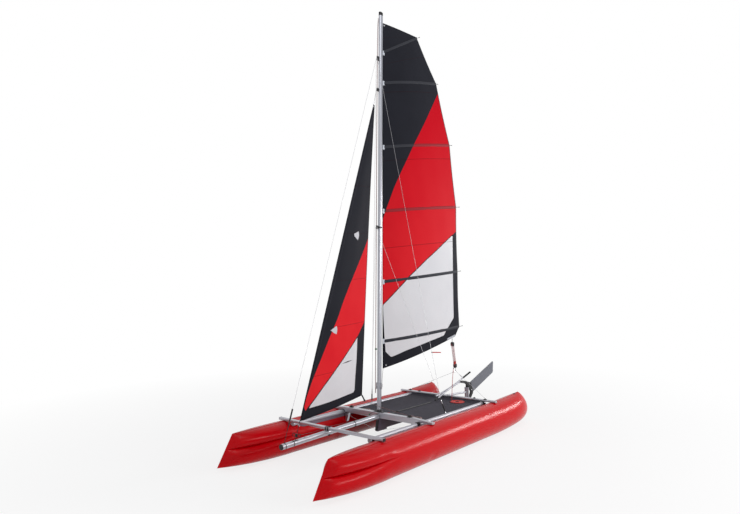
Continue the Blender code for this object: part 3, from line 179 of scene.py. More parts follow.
# Borders of the sails' panels, in metres across from the luff and up along it.
MAIN_BLACK_BORDER = ((1.32, 5.31), (1.156, 5.033), (0.561, 4.023), (0.329, 3.576), (0.197, 3.296),
                     (0.066, 2.941), (-0.012, 2.704), (-0.06, 2.56))
MAIN_FILM_BORDER = ((1.70, 2.86), (1.536, 2.739), (1.301, 2.577), (0.806, 2.22), (0.483, 1.961),
                    (0.015, 1.503), (-0.06, 1.43))
MAIN_FILM = ((0.020, 1.508), (0.483, 1.961), (0.806, 2.22), (1.301, 2.577), (1.450, 2.680), (1.447, 2.03),
             (1.457, 1.314), (1.324, 1.173), (1.258, 1.103), (1.207, 1.030), (0.917, 0.959), (0.425, 0.828),
             (0.158, 0.734), (0.066, 0.819), (0.056, 0.943), (0.047, 1.035), (0.033, 1.285))
JIB_BLACK_BORDER = ((0.56, 2.95), (0.488, 2.643), (0.416, 2.318), (0.364, 2.116), (0.315, 1.921),
                    (0.262, 1.65), (0.222, 1.40), (0.168, 1.149), (0.125, 0.931), (0.084, 0.719),
                    (0.043, 0.507), (0.022, 0.344), (0.014, 0.228), (0.018, 0.167), (0.036, 0.143),
                    (0.057, 0.157))
JIB_FILM_BORDER = ((0.95, 1.80), (0.788, 1.518), (0.697, 1.280), (0.602, 1.103), (0.452, 0.845),
                   (0.288, 0.564), (0.134, 0.287), (0.062, 0.158), (0.03, 0.10))
JIB_FILM = ((0.697, 1.280), (0.602, 1.103), (0.452, 0.845), (0.288, 0.564), (0.134, 0.287), (0.062, 0.158),
            (0.396, 0.306), (0.870, 0.528), (0.815, 0.777), (0.782, 0.963))
JIB_BATTEN = ((0.452, 0.835), (0.79, 0.972))
JIB_WINDOWS = (((0.145, 1.205), (0.236, 1.300), (0.266, 1.252), (0.270, 1.187)),
               ((0.167, 2.609), (0.263, 2.701), (0.292, 2.640), (0.287, 2.566)))


def at(x, y, z):
    """A place in the frame, from one with Y = 0 at the mast."""
    return Vector((x, y + SHIFT, z))


def add_camera():
    data = bpy.data.cameras.new("camera")
    data.sensor_fit = "HORIZONTAL"
    data.sensor_width = 36.0
    data.lens = 26.824
    camera = bpy.data.objects.new("camera", data)
    bpy.context.scene.collection.objects.link(camera)
    right = Vector((0.75119, 0.65980, -0.01933)).normalized()
    up = Vector((0.05484, -0.03321, 0.99794))
    back = right.cross(up).normalized()
    up = back.cross(right)
    turn = Matrix((right, up, back)).transposed().to_4x4()
    camera.matrix_world = Matrix.Translation(at(5.3013, -6.1882, 2.2774)) @ turn
    bpy.context.scene.camera = camera


def linear(colour):
    """Scene-linear values of a colour written as 0 to 255 screen values."""
    values = []
    for part in colour:
        share = part / 255
        values.append(share / 12.92 if share <= 0.04045 else ((share + 0.055) / 1.055) ** 2.4)
    return values


class Finish:
    """A Principled material, with short calls that add nodes to it."""

    def __init__(self, name, colour, roughness=0.5, metallic=0.0, sheen=0.0):
        self.material = bpy.data.materials.new(name)
        self.material.use_nodes = True
        self.nodes = self.material.node_tree.nodes
        self.links = self.material.node_tree.links
        self.shader = self.nodes["Principled BSDF"]
        self.colour = (*linear(colour), 1.0)
        self.shader.inputs["Base Color"].default_value = self.colour
        self.shader.inputs["Roughness"].default_value = roughness
        self.shader.inputs["Metallic"].default_value = metallic
        self.shader.inputs["Sheen Weight"].default_value = sheen
        self.material.diffuse_color = self.colour

    def node(self, kind, *inputs, **settings):
        """Add a node. Inputs are values or outputs of other nodes, in the order of its sockets."""
        made = self.nodes.new(kind)
        for key, value in settings.items():
            setattr(made, key, value)
        for socket, value in zip(made.inputs, inputs):
            if value is None:
                continue
            if isinstance(value, bpy.types.NodeSocket):
                self.links.new(value, socket)
            else:
                socket.default_value = value
        return made

    def math(self, operation, a, b=None, c=None):
        return self.node("ShaderNodeMath", a, b, c, operation=operation).outputs[0]

    def attribute(self, name):
        return self.node("ShaderNodeAttribute", attribute_name=name).outputs["Fac"]

    def place(self, stretch=(1.0, 1.0, 1.0)):
        coords = self.node("ShaderNodeTexCoord").outputs["Object"]
        mapping = self.node("ShaderNodeMapping", coords)
        mapping.inputs["Scale"].default_value = stretch
        return mapping.outputs[0]

    def uv(self, stretch=(1.0, 1.0, 1.0)):
        coords = self.node("ShaderNodeTexCoord").outputs["UV"]
        mapping = self.node("ShaderNodeMapping", coords)
        mapping.inputs["Scale"].default_value = stretch
        return mapping.outputs[0]

    def noise(self, scale, detail=3.0, stretch=(1.0, 1.0, 1.0), where=None):
        made = self.node("ShaderNodeTexNoise")
        self.links.new(where if where is not None else self.place(stretch), made.inputs["Vector"])
        made.inputs["Scale"].default_value = scale
        made.inputs["Detail"].default_value = detail
        return made.outputs["Fac"]

    def weave(self, pitch, where=None, axes=(0, 2)):
        """Height of a plain weave: threads that pass over and under each other."""
        split = self.node("ShaderNodeSeparateXYZ", where if where is not None else self.place())
        turns = math.pi / pitch
        a = self.math("SINE", self.math("MULTIPLY", split.outputs[axes[0]], turns))
        b = self.math("SINE", self.math("MULTIPLY", split.outputs[axes[1]], turns))
        return self.math("MULTIPLY", a, b)

    def within(self, value, half, soft):
        """1 where the value is nearer to zero than half, with a soft edge."""
        made = self.node("ShaderNodeMapRange")
        self.links.new(self.math("ABSOLUTE", value), made.inputs["Value"])
        made.inputs["From Min"].default_value = half
        made.inputs["From Max"].default_value = half + soft
        made.inputs["To Min"].default_value = 1.0
        made.inputs["To Max"].default_value = 0.0
        return made.outputs["Result"]

    def above(self, value, edge, soft):
        """1 where the value is over an edge."""
        made = self.node("ShaderNodeMapRange")
        self.links.new(value, made.inputs["Value"])
        made.inputs["From Min"].default_value = edge
        made.inputs["From Max"].default_value = edge + soft
        return made.outputs["Result"]

    def fit(self, value, low, high):
        """Stretch a 0 to 1 value to another range."""
        made = self.node("ShaderNodeMapRange")
        self.links.new(value, made.inputs["Value"])
        made.inputs["To Min"].default_value = low
        made.inputs["To Max"].default_value = high
        return made.outputs["Result"]

    def mix(self, share, a, b):
        made = self.node("ShaderNodeMix", data_type="RGBA")
        for socket, value in (("Factor", share), ("A", a), ("B", b)):
            target = [s for s in made.inputs if s.name == socket and s.enabled][0]
            if isinstance(value, bpy.types.NodeSocket):
                self.links.new(value, target)
            elif socket == "Factor":
                target.default_value = value
            else:
                target.default_value = (*linear(value), 1.0) if len(value) == 3 else value
        return [s for s in made.outputs if s.enabled][0]

    def colour_from(self, output):
        self.links.new(output, self.shader.inputs["Base Color"])
        return self

    def roughness_from(self, output):
        self.links.new(output, self.shader.inputs["Roughness"])
        return self

    def bump(self, height, distance, strength=1.0):
        """Add a height to the surface's bumps, on top of those before it."""
        made = self.node("ShaderNodeBump")
        made.inputs["Strength"].default_value = strength
        made.inputs["Distance"].default_value = distance
        self.links.new(height, made.inputs["Height"])
        normal = self.shader.inputs["Normal"]
        if normal.links:
            self.links.new(normal.links[0].from_socket, made.inputs["Normal"])
        self.links.new(made.outputs[0], normal)
        return self


def clouded(finish, colour, other, scale, stretch=(1.0, 1.0, 1.0), detail=3.0):
    """Vary a finish's colour softly between two colours."""
    return finish.colour_from(finish.mix(finish.noise(scale, detail, stretch), colour, other))


def make_hull_fabric():
    finish = Finish("hull_red", (204, 0, 14), roughness=0.26)
    finish.shader.inputs["Specular IOR Level"].default_value = 0.13
    cloud = finish.noise(2.2, 3.0)
    worn = finish.noise(38.0, 4.0)
    base = finish.mix(cloud, (198, 0, 12), (211, 2, 17))
    finish.colour_from(finish.mix(finish.above(worn, 0.66, 0.2), base, (184, 8, 20)))
    finish.roughness_from(finish.fit(finish.noise(7.0, 3.0), 0.20, 0.28))
    finish.bump(finish.weave(0.0016, axes=(1, 2)), 0.00008, 0.5)
    finish.bump(finish.noise(5.0, 2.0, (1.0, 0.45, 1.0)), 0.004, 0.25)
    return finish.material


def make_aluminium(name, stretch, colour=(174, 174, 181), low=0.28, high=0.42):
    """Satin anodised aluminium, drawn along one axis."""
    finish = Finish(name, colour, metallic=0.9)
    streaks = finish.noise(26.0, 4.0, stretch)
    lighter = [min(255, part + 9) for part in colour]
    darker = [part - 12 for part in colour]
    finish.colour_from(finish.mix(streaks, darker, lighter))
    finish.roughness_from(finish.fit(streaks, low, high))
    finish.bump(finish.noise(90.0, 3.0, stretch), 0.0002, 0.4)
    return finish.material


def make_plastic(name, colour=(20, 20, 23), roughness=0.45, grain=900.0):
    finish = Finish(name, colour)
    finish.shader.inputs["Specular IOR Level"].default_value = 0.3
    other = [min(255, part + 12) for part in colour]
    clouded(finish, colour, other, 60.0)
    finish.roughness_from(finish.fit(finish.noise(45.0, 3.0), roughness - 0.07, roughness + 0.1))
    finish.bump(finish.noise(grain, 2.0), 0.00012, 0.6)
    return finish.material


def make_metal(name, colour, roughness):
    finish = Finish(name, colour, metallic=1.0)
    scratches = finish.noise(240.0, 3.0)
    finish.colour_from(finish.mix(scratches, [part - 14 for part in colour], colour))
    finish.roughness_from(finish.fit(scratches, roughness - 0.05, roughness + 0.1))
    return finish.material


def make_wire():
    """Stranded stainless wire."""
    finish = Finish("wire", (190, 190, 194), metallic=1.0)
    split = finish.node("ShaderNodeSeparateXYZ", finish.place())
    twist = finish.math("ADD", finish.math("MULTIPLY", split.outputs[2], 900.0),
                        finish.math("MULTIPLY", split.outputs[0], 1600.0))
    strand = finish.math("SINE", twist)
    # Painted shade and highlight: darker in the grooves between strands, lighter on their crowns.
    finish.colour_from(finish.mix(finish.fit(strand, 0.0, 1.0), (150, 150, 155), (205, 205, 208)))
    finish.roughness_from(finish.fit(finish.noise(60.0), 0.28, 0.4))
    finish.bump(strand, 0.0004, 0.5)
    return finish.material


def make_rope(name, colour, fleck, share=0.5):
    """A braided rope. Its map runs along it in x, in turns of its girth, and round it in y."""
    finish = Finish(name, colour, roughness=0.8, sheen=0.2)
    split = finish.node("ShaderNodeSeparateXYZ", finish.uv())
    along = finish.math("MULTIPLY", split.outputs[0], 2 * math.pi * 3)
    round_it = finish.math("MULTIPLY", split.outputs[1], 2 * math.pi * 4)
    one = finish.math("SINE", finish.math("ADD", along, round_it))
    two = finish.math("SINE", finish.math("SUBTRACT", along, round_it))
    braid = finish.math("MULTIPLY", one, two)
    soft = finish.noise(900.0, 2.0)
    marked = finish.above(finish.math("ADD", one, finish.math("MULTIPLY", soft, 0.3)), 1.0 - share, 0.15)
    # Painted shade: the braid's grooves take a darker copy of the rope's colour, its crowns the full colour.
    dark = [part * 0.72 for part in colour]
    base = finish.mix(finish.above(braid, -0.2, 0.8), dark, colour)
    finish.colour_from(finish.mix(marked, base, fleck))
    finish.bump(braid, 0.0007, 0.9)
    finish.bump(soft, 0.0003, 0.5)
    return finish.material


def make_trampoline():
    """Woven mesh: fine threads both ways, with painted shade in its holes."""
    finish = Finish("deck_mesh", (84, 82, 91), roughness=0.85)
    finish.shader.inputs["Specular IOR Level"].default_value = 0.2
    weave = finish.weave(0.0042, axes=(0, 1))
    cloud = finish.noise(3.5, 3.0)
    base = finish.mix(cloud, (74, 71, 82), (88, 85, 96))
    # Painted shade: the low parts of the weave, its holes, get a near-black colour.
    threads = finish.mix(finish.above(weave, -0.35, 0.7), (46, 45, 51), base)
    hem = finish.above(finish.attribute("edge"), 0.038, 0.002)
    stitched = finish.within(finish.math("SUBTRACT", finish.attribute("edge"), 0.032), 0.0012, 0.0006)
    hemmed = finish.mix(hem, (60, 59, 66), threads)
    finish.colour_from(finish.mix(finish.math("MULTIPLY", stitched, 0.7), hemmed, (120, 118, 126)))
    finish.bump(weave, 0.0009, 0.8)
    finish.bump(cloud, 0.004, 0.4)
    return finish.material


def make_webbing(name, colour=(20, 20, 22)):
    finish = Finish(name, colour, roughness=0.8, sheen=0.15)
    ribs = finish.weave(0.0016, axes=(0, 1))
    clouded(finish, colour, [part + 14 for part in colour], 120.0)
    finish.bump(ribs, 0.0006, 0.8)
    return finish.material


def stripes(finish, value, other, lean, pitch):
    """A wave over lines of one pitch that lean by a share of the other direction."""
    leaning = finish.math("ADD", value, finish.math("MULTIPLY", other, lean))
    return finish.math("SINE", finish.math("MULTIPLY", leaning, 2 * math.pi / pitch))


def sail_base(finish):
    """The panels shared by both sails: black and red cloth, and clear film with its scrim."""
    across = finish.attribute("across")
    along = finish.attribute("along")
    red = finish.attribute("red")
    film = finish.attribute("film")
    soft = finish.noise(2.4, 3.0)
    fine = finish.noise(180.0, 3.0)
    black_cloth = finish.mix(soft, (24, 25, 31), (36, 37, 45))
    black_cloth = finish.mix(finish.math("MULTIPLY", fine, 0.3), black_cloth, (46, 47, 54))
    height = finish.fit(finish.math("MULTIPLY", along, 0.2), 0.0, 1.0)
    red_low = finish.mix(soft, (240, 48, 52), (226, 24, 38))
    red_cloth = finish.mix(height, red_low, (196, 0, 26))
    grids = [stripes(finish, along, across, -0.12, 0.011), stripes(finish, across, along, 0.35, 0.014),
             stripes(finish, across, along, -0.35, 0.014)]
    diagonal = finish.math("MAXIMUM", finish.above(grids[1], 0.93, 0.06), finish.above(grids[2], 0.93, 0.06))
    scrim = finish.math("MAXIMUM", finish.above(grids[0], 0.80, 0.15), finish.math("MULTIPLY", diagonal, 0.6))
    film_base = finish.mix(soft, (234, 235, 239), (248, 248, 251))
    film_cloth = finish.mix(finish.math("MULTIPLY", scrim, 0.7), film_base, (172, 173, 182))
    is_red = finish.above(red, 0.0, 0.0015)
    is_film = finish.above(film, 0.006, 0.0015)
    colour = finish.mix(is_film, finish.mix(is_red, black_cloth, red_cloth), film_cloth)
    colour = finish.mix(finish.within(film, 0.0060, 0.0015), colour, (30, 30, 36))
    return colour, is_film, scrim, fine


def finish_sail(finish, colour, is_film, scrim, fine):
    finish.colour_from(colour)
    finish.roughness_from(finish.fit(is_film, 0.55, 0.26))
    finish.bump(fine, 0.0004, 0.35)
    finish.bump(finish.noise(3.0, 2.0, (1.0, 1.0, 0.35)), 0.012, 0.30)
    clear = finish.fit(finish.math("MULTIPLY", is_film, finish.math("SUBTRACT", 1.0, scrim)), 1.0, 0.72)
    finish.links.new(clear, finish.shader.inputs["Alpha"])
    return finish.material


def make_mainsail_cloth():
    finish = Finish("mainsail_cloth", (34, 35, 42))
    finish.shader.inputs["Specular IOR Level"].default_value = 0.06
    colour, is_film, scrim, fine = sail_base(finish)
    row = finish.attribute("row")
    leech = finish.attribute("leech")
    luff = finish.attribute("across")
    seams = None
    for place in (2.47, 3.78, 4.85, 5.6, 6.5):
        line = finish.within(finish.math("SUBTRACT", row, place), 0.0030, 0.0016)
        seams = line if seams is None else finish.math("MAXIMUM", seams, line)
    colour = finish.mix(finish.math("MULTIPLY", seams, 0.55), colour, (38, 10, 16))
    tape = finish.math("SUBTRACT", 1.0, finish.above(leech, 0.016, 0.001))
    colour = finish.mix(finish.math("MULTIPLY", tape, 0.85), colour, (32, 32, 38))
    rope_edge = finish.math("SUBTRACT", 1.0, finish.above(luff, 0.014, 0.001))
    colour = finish.mix(finish.math("MULTIPLY", rope_edge, 0.8), colour, (30, 30, 36))
    stitch_line = finish.within(finish.math("SUBTRACT", leech, 0.013), 0.0008, 0.0005)
    colour = finish.mix(finish.math("MULTIPLY", stitch_line, 0.5), colour, (120, 120, 126))
    finish.bump(seams, 0.0010, 0.5)
    return finish_sail(finish, colour, is_film, scrim, fine)


def make_jib_cloth():
    finish = Finish("jib_cloth", (34, 35, 42))
    finish.shader.inputs["Specular IOR Level"].default_value = 0.06
    colour, is_film, scrim, fine = sail_base(finish)
    leech = finish.attribute("leech")
    luff = finish.attribute("across")
    along = finish.attribute("along")
    seams = None
    for place in (0.55, 1.18, 1.85, 2.55, 3.30, 4.05):
        level = finish.math("SUBTRACT", finish.math("SUBTRACT", along, finish.math("MULTIPLY", luff, 0.43)),
                            place)
        line = finish.within(level, 0.0028, 0.0016)
        seams = line if seams is None else finish.math("MAXIMUM", seams, line)
    solid = finish.math("SUBTRACT", 1.0, is_film)
    colour = finish.mix(finish.math("MULTIPLY", finish.math("MULTIPLY", seams, solid), 0.45), colour,
                        (40, 12, 18))
    window = finish.above(finish.attribute("window"), 0.0, 0.0015)
    colour = finish.mix(window, colour, (206, 207, 213))
    batten = finish.above(finish.attribute("batten"), 0.0, 0.001)
    colour = finish.mix(batten, colour, (36, 36, 42))
    tape = finish.math("SUBTRACT", 1.0, finish.above(leech, 0.012, 0.001))
    colour = finish.mix(finish.math("MULTIPLY", tape, 0.8), colour, (30, 30, 36))
    stitch_line = finish.within(finish.math("SUBTRACT", luff, 0.045), 0.0008, 0.0005)
    colour = finish.mix(finish.math("MULTIPLY", stitch_line, 0.35), colour, (110, 110, 116))
    finish.bump(seams, 0.0010, 0.5)
    return finish_sail(finish, colour, is_film, scrim, fine)


def make_pocket(name, over_red):
    """A batten pocket's tape: black, or dark red where it crosses the red panel."""
    finish = Finish(name, (30, 30, 35), roughness=0.6)
    finish.shader.inputs["Specular IOR Level"].default_value = 0.2
    fine = finish.noise(300.0, 2.0)
    black_tape = finish.mix(fine, (34, 36, 43), (48, 50, 58))
    red_tape = finish.mix(fine, (138, 22, 34), (158, 34, 44))
    is_red = finish.above(finish.attribute("red"), 0.0, 0.002)
    colour = finish.mix(is_red, black_tape, red_tape) if over_red else black_tape
    # Painted shade: the tape darkens along both edges, where the raised pocket meets the sail.
    edge = finish.above(finish.attribute("edge"), 0.0215, 0.0006)
    finish.colour_from(finish.mix(finish.math("MULTIPLY", edge, 0.85), colour, (12, 11, 14)))
    finish.roughness_from(finish.fit(fine, 0.5, 0.65))
    finish.bump(fine, 0.0003, 0.4)
    return finish.material


def make_blade(name, colour):
    finish = Finish(name, colour)
    clouded(finish, [part - 7 for part in colour], [part + 9 for part in colour], 6.0)
    finish.roughness_from(finish.fit(finish.noise(22.0, 4.0), 0.32, 0.48))
    finish.bump(finish.noise(400.0, 2.0), 0.0001, 0.5)
    return finish.material


def make_pad():
    finish = Finish("pad_grey", (120, 104, 118), roughness=0.7, sheen=0.1)
    clouded(finish, (112, 97, 110), (130, 114, 128), 8.0)
    finish.bump(finish.weave(0.002, axes=(1, 2)), 0.0004, 0.7)
    return finish.material


def new_object(name, data, look, body="boat", slot=None):
    """A piece on a body. Its look is a name in LOOKS, or a material."""
    piece = bpy.data.objects.new(name, data)
    bpy.context.scene.collection.objects.link(piece)
    if isinstance(look, str):
        slot = slot or SLOT_OF_LOOK[look]
        look = LOOKS[look]
    data.materials.append(look)
    if body is not None:
        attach(piece, body)
    return piece


def mesh_of(name, points, faces, angle=35):
    mesh = bpy.data.meshes.new(name)
    mesh.from_pydata([tuple(point) for point in points], [], faces)
    form = bmesh.new()
    form.from_mesh(mesh)
    bmesh.ops.recalc_face_normals(form, faces=form.faces)
    form.to_mesh(mesh)
    form.free()
    mesh.shade_smooth()
    mesh.set_sharp_from_angle(angle=math.radians(angle))
    return mesh


def add_loft(name, rings, look, body="boat", slot=None, angle=35, caps=True):
    """Skin closed rings of equal point counts."""
    count = len(rings[0])
    points = [point for ring in rings for point in ring]
    faces = []
    for row in range(len(rings) - 1):
        for i in range(count):
            j = (i + 1) % count
            faces.append((row * count + i, row * count + j, (row + 1) * count + j, (row + 1) * count + i))
    if caps:
        faces.append(tuple(range(count))[::-1])
        faces.append(tuple(range((len(rings) - 1) * count, len(rings) * count)))
    return new_object(name, mesh_of(name, points, faces, angle), look, body, slot)


def frame_of(origin, along, up=Vector((0, 0, 1))):
    """A matrix whose local Z runs along a direction, with local Y as near to up as it can be."""
    z_axis = Vector(along).normalized()
    x_axis = Vector(up).cross(z_axis)
    if x_axis.length < 1e-6:
        x_axis = Vector((1, 0, 0))
    x_axis.normalize()
    y_axis = z_axis.cross(x_axis)
    return Matrix.Translation(origin) @ Matrix((x_axis, y_axis, z_axis)).transposed().to_4x4()


def add_turned(name, profile, place, look, body="boat", slot=None, sides=24, angle=35):
    """A turned piece: radius and height pairs from bottom to top about local Z."""
    rings = []
    for radius, height in profile:
        rings.append([place @ Vector((radius * math.cos(2 * math.pi * i / sides),
                                      radius * math.sin(2 * math.pi * i / sides), height))
                      for i in range(sides)])
    return add_loft(name, rings, look, body, slot, angle)


def add_block(name, size, centre, look, body="boat", slot=None, turn=None, bevel=0.002, segments=2):
    """A box with rounded edges."""
    mesh = bpy.data.meshes.new(name)
    form = bmesh.new()
    bmesh.ops.create_cube(form, size=1.0, matrix=Matrix.Diagonal((*size, 1.0)))
    bmesh.ops.bevel(form, geom=form.edges[:], offset=bevel, segments=segments, affect="EDGES", profile=0.6)
    form.transform(Matrix.Translation(centre) @ (turn if turn is not None else Matrix.Identity(4)))
    form.to_mesh(mesh)
    form.free()
    mesh.shade_smooth()
    mesh.set_sharp_from_angle(angle=math.radians(40))
    return new_object(name, mesh, look, body, slot)


def tube_frames(points):
    """Two directions across a route at each of its points, turned as little as they can be."""
    frames = []
    across = None
    for i in range(len(points)):
        before = points[max(i - 1, 0)]
        after = points[min(i + 1, len(points) - 1)]
        along = (after - before).normalized()
        if across is None:
            across = Vector((0, 0, 1)) if abs(along.z) < 0.9 else Vector((1, 0, 0))
        across = (across - along * across.dot(along)).normalized()
        frames.append((across.copy(), along.cross(across)))
    return frames


def add_tube(name, points, radius, look, body="boat", slot=None, sides=10):
    """A round rope or wire as a mesh tube. Its map runs along it in x and round it in y."""
    points = [Vector(point) for point in points]
    frames = tube_frames(points)
    verts = []
    travelled = [0.0]
    for i, point in enumerate(points):
        if i:
            travelled.append(travelled[-1] + (point - points[i - 1]).length)
        one, two = frames[i]
        for k in range(sides):
            angle = 2 * math.pi * k / sides
            verts.append(point + one * radius * math.cos(angle) + two * radius * math.sin(angle))
    faces = []
    for i in range(len(points) - 1):
        for k in range(sides):
            m = (k + 1) % sides
            faces.append((i * sides + k, i * sides + m, (i + 1) * sides + m, (i + 1) * sides + k))
    faces.append(tuple(range(sides))[::-1])
    faces.append(tuple(range((len(points) - 1) * sides, len(points) * sides)))
    mesh = bpy.data.meshes.new(name)
    mesh.from_pydata([tuple(vert) for vert in verts], [], faces)
    layer = mesh.uv_layers.new(name="UVMap")
    girth = 2 * math.pi * radius
    for polygon in mesh.polygons:
        ks = [mesh.loops[index].vertex_index % sides for index in polygon.loop_indices]
        wraps = max(ks) - min(ks) > sides / 2
        for index, k in zip(polygon.loop_indices, ks):
            ring = mesh.loops[index].vertex_index // sides
            turn = k + sides if wraps and k < sides / 2 else k
            layer.data[index].uv = (travelled[ring] / girth, turn / sides)
    form = bmesh.new()
    form.from_mesh(mesh)
    bmesh.ops.recalc_face_normals(form, faces=form.faces)
    form.to_mesh(mesh)
    form.free()
    mesh.shade_smooth()
    mesh.set_sharp_from_angle(angle=math.radians(60))
    return new_object(name, mesh, look, body, slot)


def smooth_route(knots, steps):
    """Points on a smooth curve through the knots, with the same number of steps between each two."""
    knots = [Vector(knot) for knot in knots]
    guarded = [knots[0] * 2 - knots[1]] + knots + [knots[-1] * 2 - knots[-2]]
    route = []
    for i in range(1, len(guarded) - 2):
        before, start, end, after = guarded[i - 1:i + 3]
        for k in range(steps):
            t = k / steps
            route.append(0.5 * (2 * start + (end - before) * t
                                + (2 * before - 5 * start + 4 * end - after) * t * t
                                + (3 * start - before - 3 * end + after) * t ** 3))
    route.append(knots[-1])
    return route


def sail_frame():
    swing = Matrix.Rotation(math.radians(SAIL_SWING), 3, MAST_AXIS)
    chord = swing.inverted() @ MAST_AFT
    out = chord.cross(MAST_AXIS)
    turn = Matrix((chord, MAST_AXIS, out)).transposed().to_4x4()
    return Matrix.Translation(mast_point(0.0, LUFF_OFFSET)) @ turn


def mast_point(t, aft=0.0, port=0.0):
    return at(port, 0.0, MAST_STEP_Z) + MAST_AXIS * t + MAST_AFT * aft


def mast_frame(t, aft=0.0, port=0.0):
    """Local X to port, local Y aft and local Z up the mast."""
    turn = Matrix((Vector((1, 0, 0)), MAST_AFT, MAST_AXIS)).transposed().to_4x4()
    return Matrix.Translation(mast_point(t, aft, port)) @ turn


def main_row(v):
    low = min(int(v), len(MAIN_ROWS) - 2)
    luff, leech, chord = [a + (b - a) * (v - low) for a, b in zip(MAIN_ROWS[low], MAIN_ROWS[low + 1])]
    return MAIN_TACK_HEIGHT + luff * MAIN_LUFF, MAIN_CLEW_HEIGHT + leech * MAIN_LEECH, chord * MAIN_CHORD


def belly(u):
    return 4.0 * u * (1.0 - u) * (1.3 - 0.6 * u)


def main_point(u, v, out=0.0):
    luff, leech, chord = main_row(v)
    slack = TACK_SLACK * max(0.0, 1.0 - v / 6.0)
    x = slack + (chord - slack) * u
    camber = MAIN_CAMBER * (1.0 - 0.75 * max(0.0, v - 6.0))
    return Vector((x, luff + (leech - luff) * u, camber * chord * belly(u) + out))


def jib_frame():
    side = Vector((1, 0, 0))
    aft = JIB_AXIS.cross(side)
    turn = Matrix((aft, JIB_AXIS, side)).transposed().to_4x4()
    return Matrix.Translation(JIB_TACK + Vector((0, SHIFT, 0))) @ turn


def jib_point(u, v, out=0.0):
    clew = jib_frame().inverted() @ (JIB_CLEW + Vector((0, SHIFT, 0)))
    luff = Vector((0.0, JIB_LUFF * v, 0.0))
    leech = clew.lerp(Vector((JIB_HEAD_WIDTH, JIB_LUFF, 0.0)), v)
    depth = JIB_CAMBER * (leech - luff).length
    return luff.lerp(leech, u) + Vector((0, 0, depth * belly(u) + out))


def segment_distance(x, y, a, b):
    dx, dy = b[0] - a[0], b[1] - a[1]
    share = max(0.0, min(1.0, ((x - a[0]) * dx + (y - a[1]) * dy) / (dx * dx + dy * dy)))
    return math.hypot(x - a[0] - share * dx, y - a[1] - share * dy)


def inside_depth(x, y, outline):
    """Distance to a closed outline, positive inside it."""
    inside = False
    nearest = math.inf
    for a, b in zip(outline, outline[1:] + outline[:1]):
        nearest = min(nearest, segment_distance(x, y, a, b))
        if (a[1] > y) != (b[1] > y) and x < (b[0] - a[0]) * (y - a[1]) / (b[1] - a[1]) + a[0]:
            inside = not inside
    return nearest if inside else -nearest


def red_panel(black_border, film_border):
    """The outline of the red panel between its two borders."""
    return tuple(black_border) + tuple(film_border[::-1])


def set_values(mesh, name, values):
    layer = mesh.attributes.new(name, "FLOAT", "POINT")
    layer.data.foreach_set("value", values)


def grid_mesh(name, rows, place):
    """A sheet's mesh from rows of local points, put in place."""
    count = len(rows[0])
    points = [place @ point for row in rows for point in row]
    faces = []
    for j in range(len(rows) - 1):
        for i in range(count - 1):
            faces.append((j * count + i, j * count + i + 1, (j + 1) * count + i + 1, (j + 1) * count + i))
    mesh = bpy.data.meshes.new(name)
    mesh.from_pydata([tuple(point) for point in points], [], faces)
    mesh.shade_smooth()
    return mesh


def thicken(piece, thickness):
    shell = piece.modifiers.new("cloth", "SOLIDIFY")
    shell.thickness = thickness
    shell.offset = 0.0
    return piece


def ripple(x, y):
    """Soft wrinkles that run up the cloth beside its battens."""
    return 0.0016 * math.sin(5.1 * x + 1.3 * y) * math.sin(9.0 * y - 2.0 * x) + 0.0008 * math.sin(17.0 * x
                                                                                                  + 4.0 * y)


def set_sail_values(mesh, rows, red, film, leech_gap):
    """Values that a sail's finish reads at each point: its place, and how deep it lies inside the panels."""
    places = [(point.x, point.y) for row in rows for point in row]
    set_values(mesh, "across", [x for x, y in places])
    set_values(mesh, "along", [y for x, y in places])
    set_values(mesh, "leech", leech_gap)
    set_values(mesh, "red", [inside_depth(x, y, red) for x, y in places])
    set_values(mesh, "film", [inside_depth(x, y, film) for x, y in places])
    return places


def add_mainsail(cloth, tapes):
    place = sail_frame()
    columns = 72
    steps = 22
    rows, row_at, leech_gap = [], [], []
    for j in range((len(MAIN_ROWS) - 1) * steps + 1):
        v = j / steps
        row = []
        hollow = math.sin(math.pi * (v - int(v))) if 1 <= v < 6 else 0.0
        for i in range(columns + 1):
            u = i / columns
            point = main_point(u, v)
            point.x -= 0.010 * hollow * u ** 4
            fade = min(1.0, 6 * u, 6 * (1 - u)) * min(1.0, 4 * v, 4 * (7 - v))
            point.z += ripple(point.x, point.y) * fade
            row.append(point)
            row_at.append(v)
        leech_gap.extend(row[-1].x - point.x for point in row)
        rows.append(row)
    mesh = grid_mesh("mainsail_cloth", rows, place)
    red = red_panel(MAIN_BLACK_BORDER, MAIN_FILM_BORDER)
    set_sail_values(mesh, rows, red, MAIN_FILM, leech_gap)
    set_values(mesh, "row", row_at)
    sail = new_object("mainsail_cloth", mesh, cloth, "mainsail", "sailcloth")
    thicken(sail, 0.0012)
    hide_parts("mainsail")
    pockets = [add_pocket(number, place, tapes, red) for number in sorted(BATTEN_REACH)]
    return sail


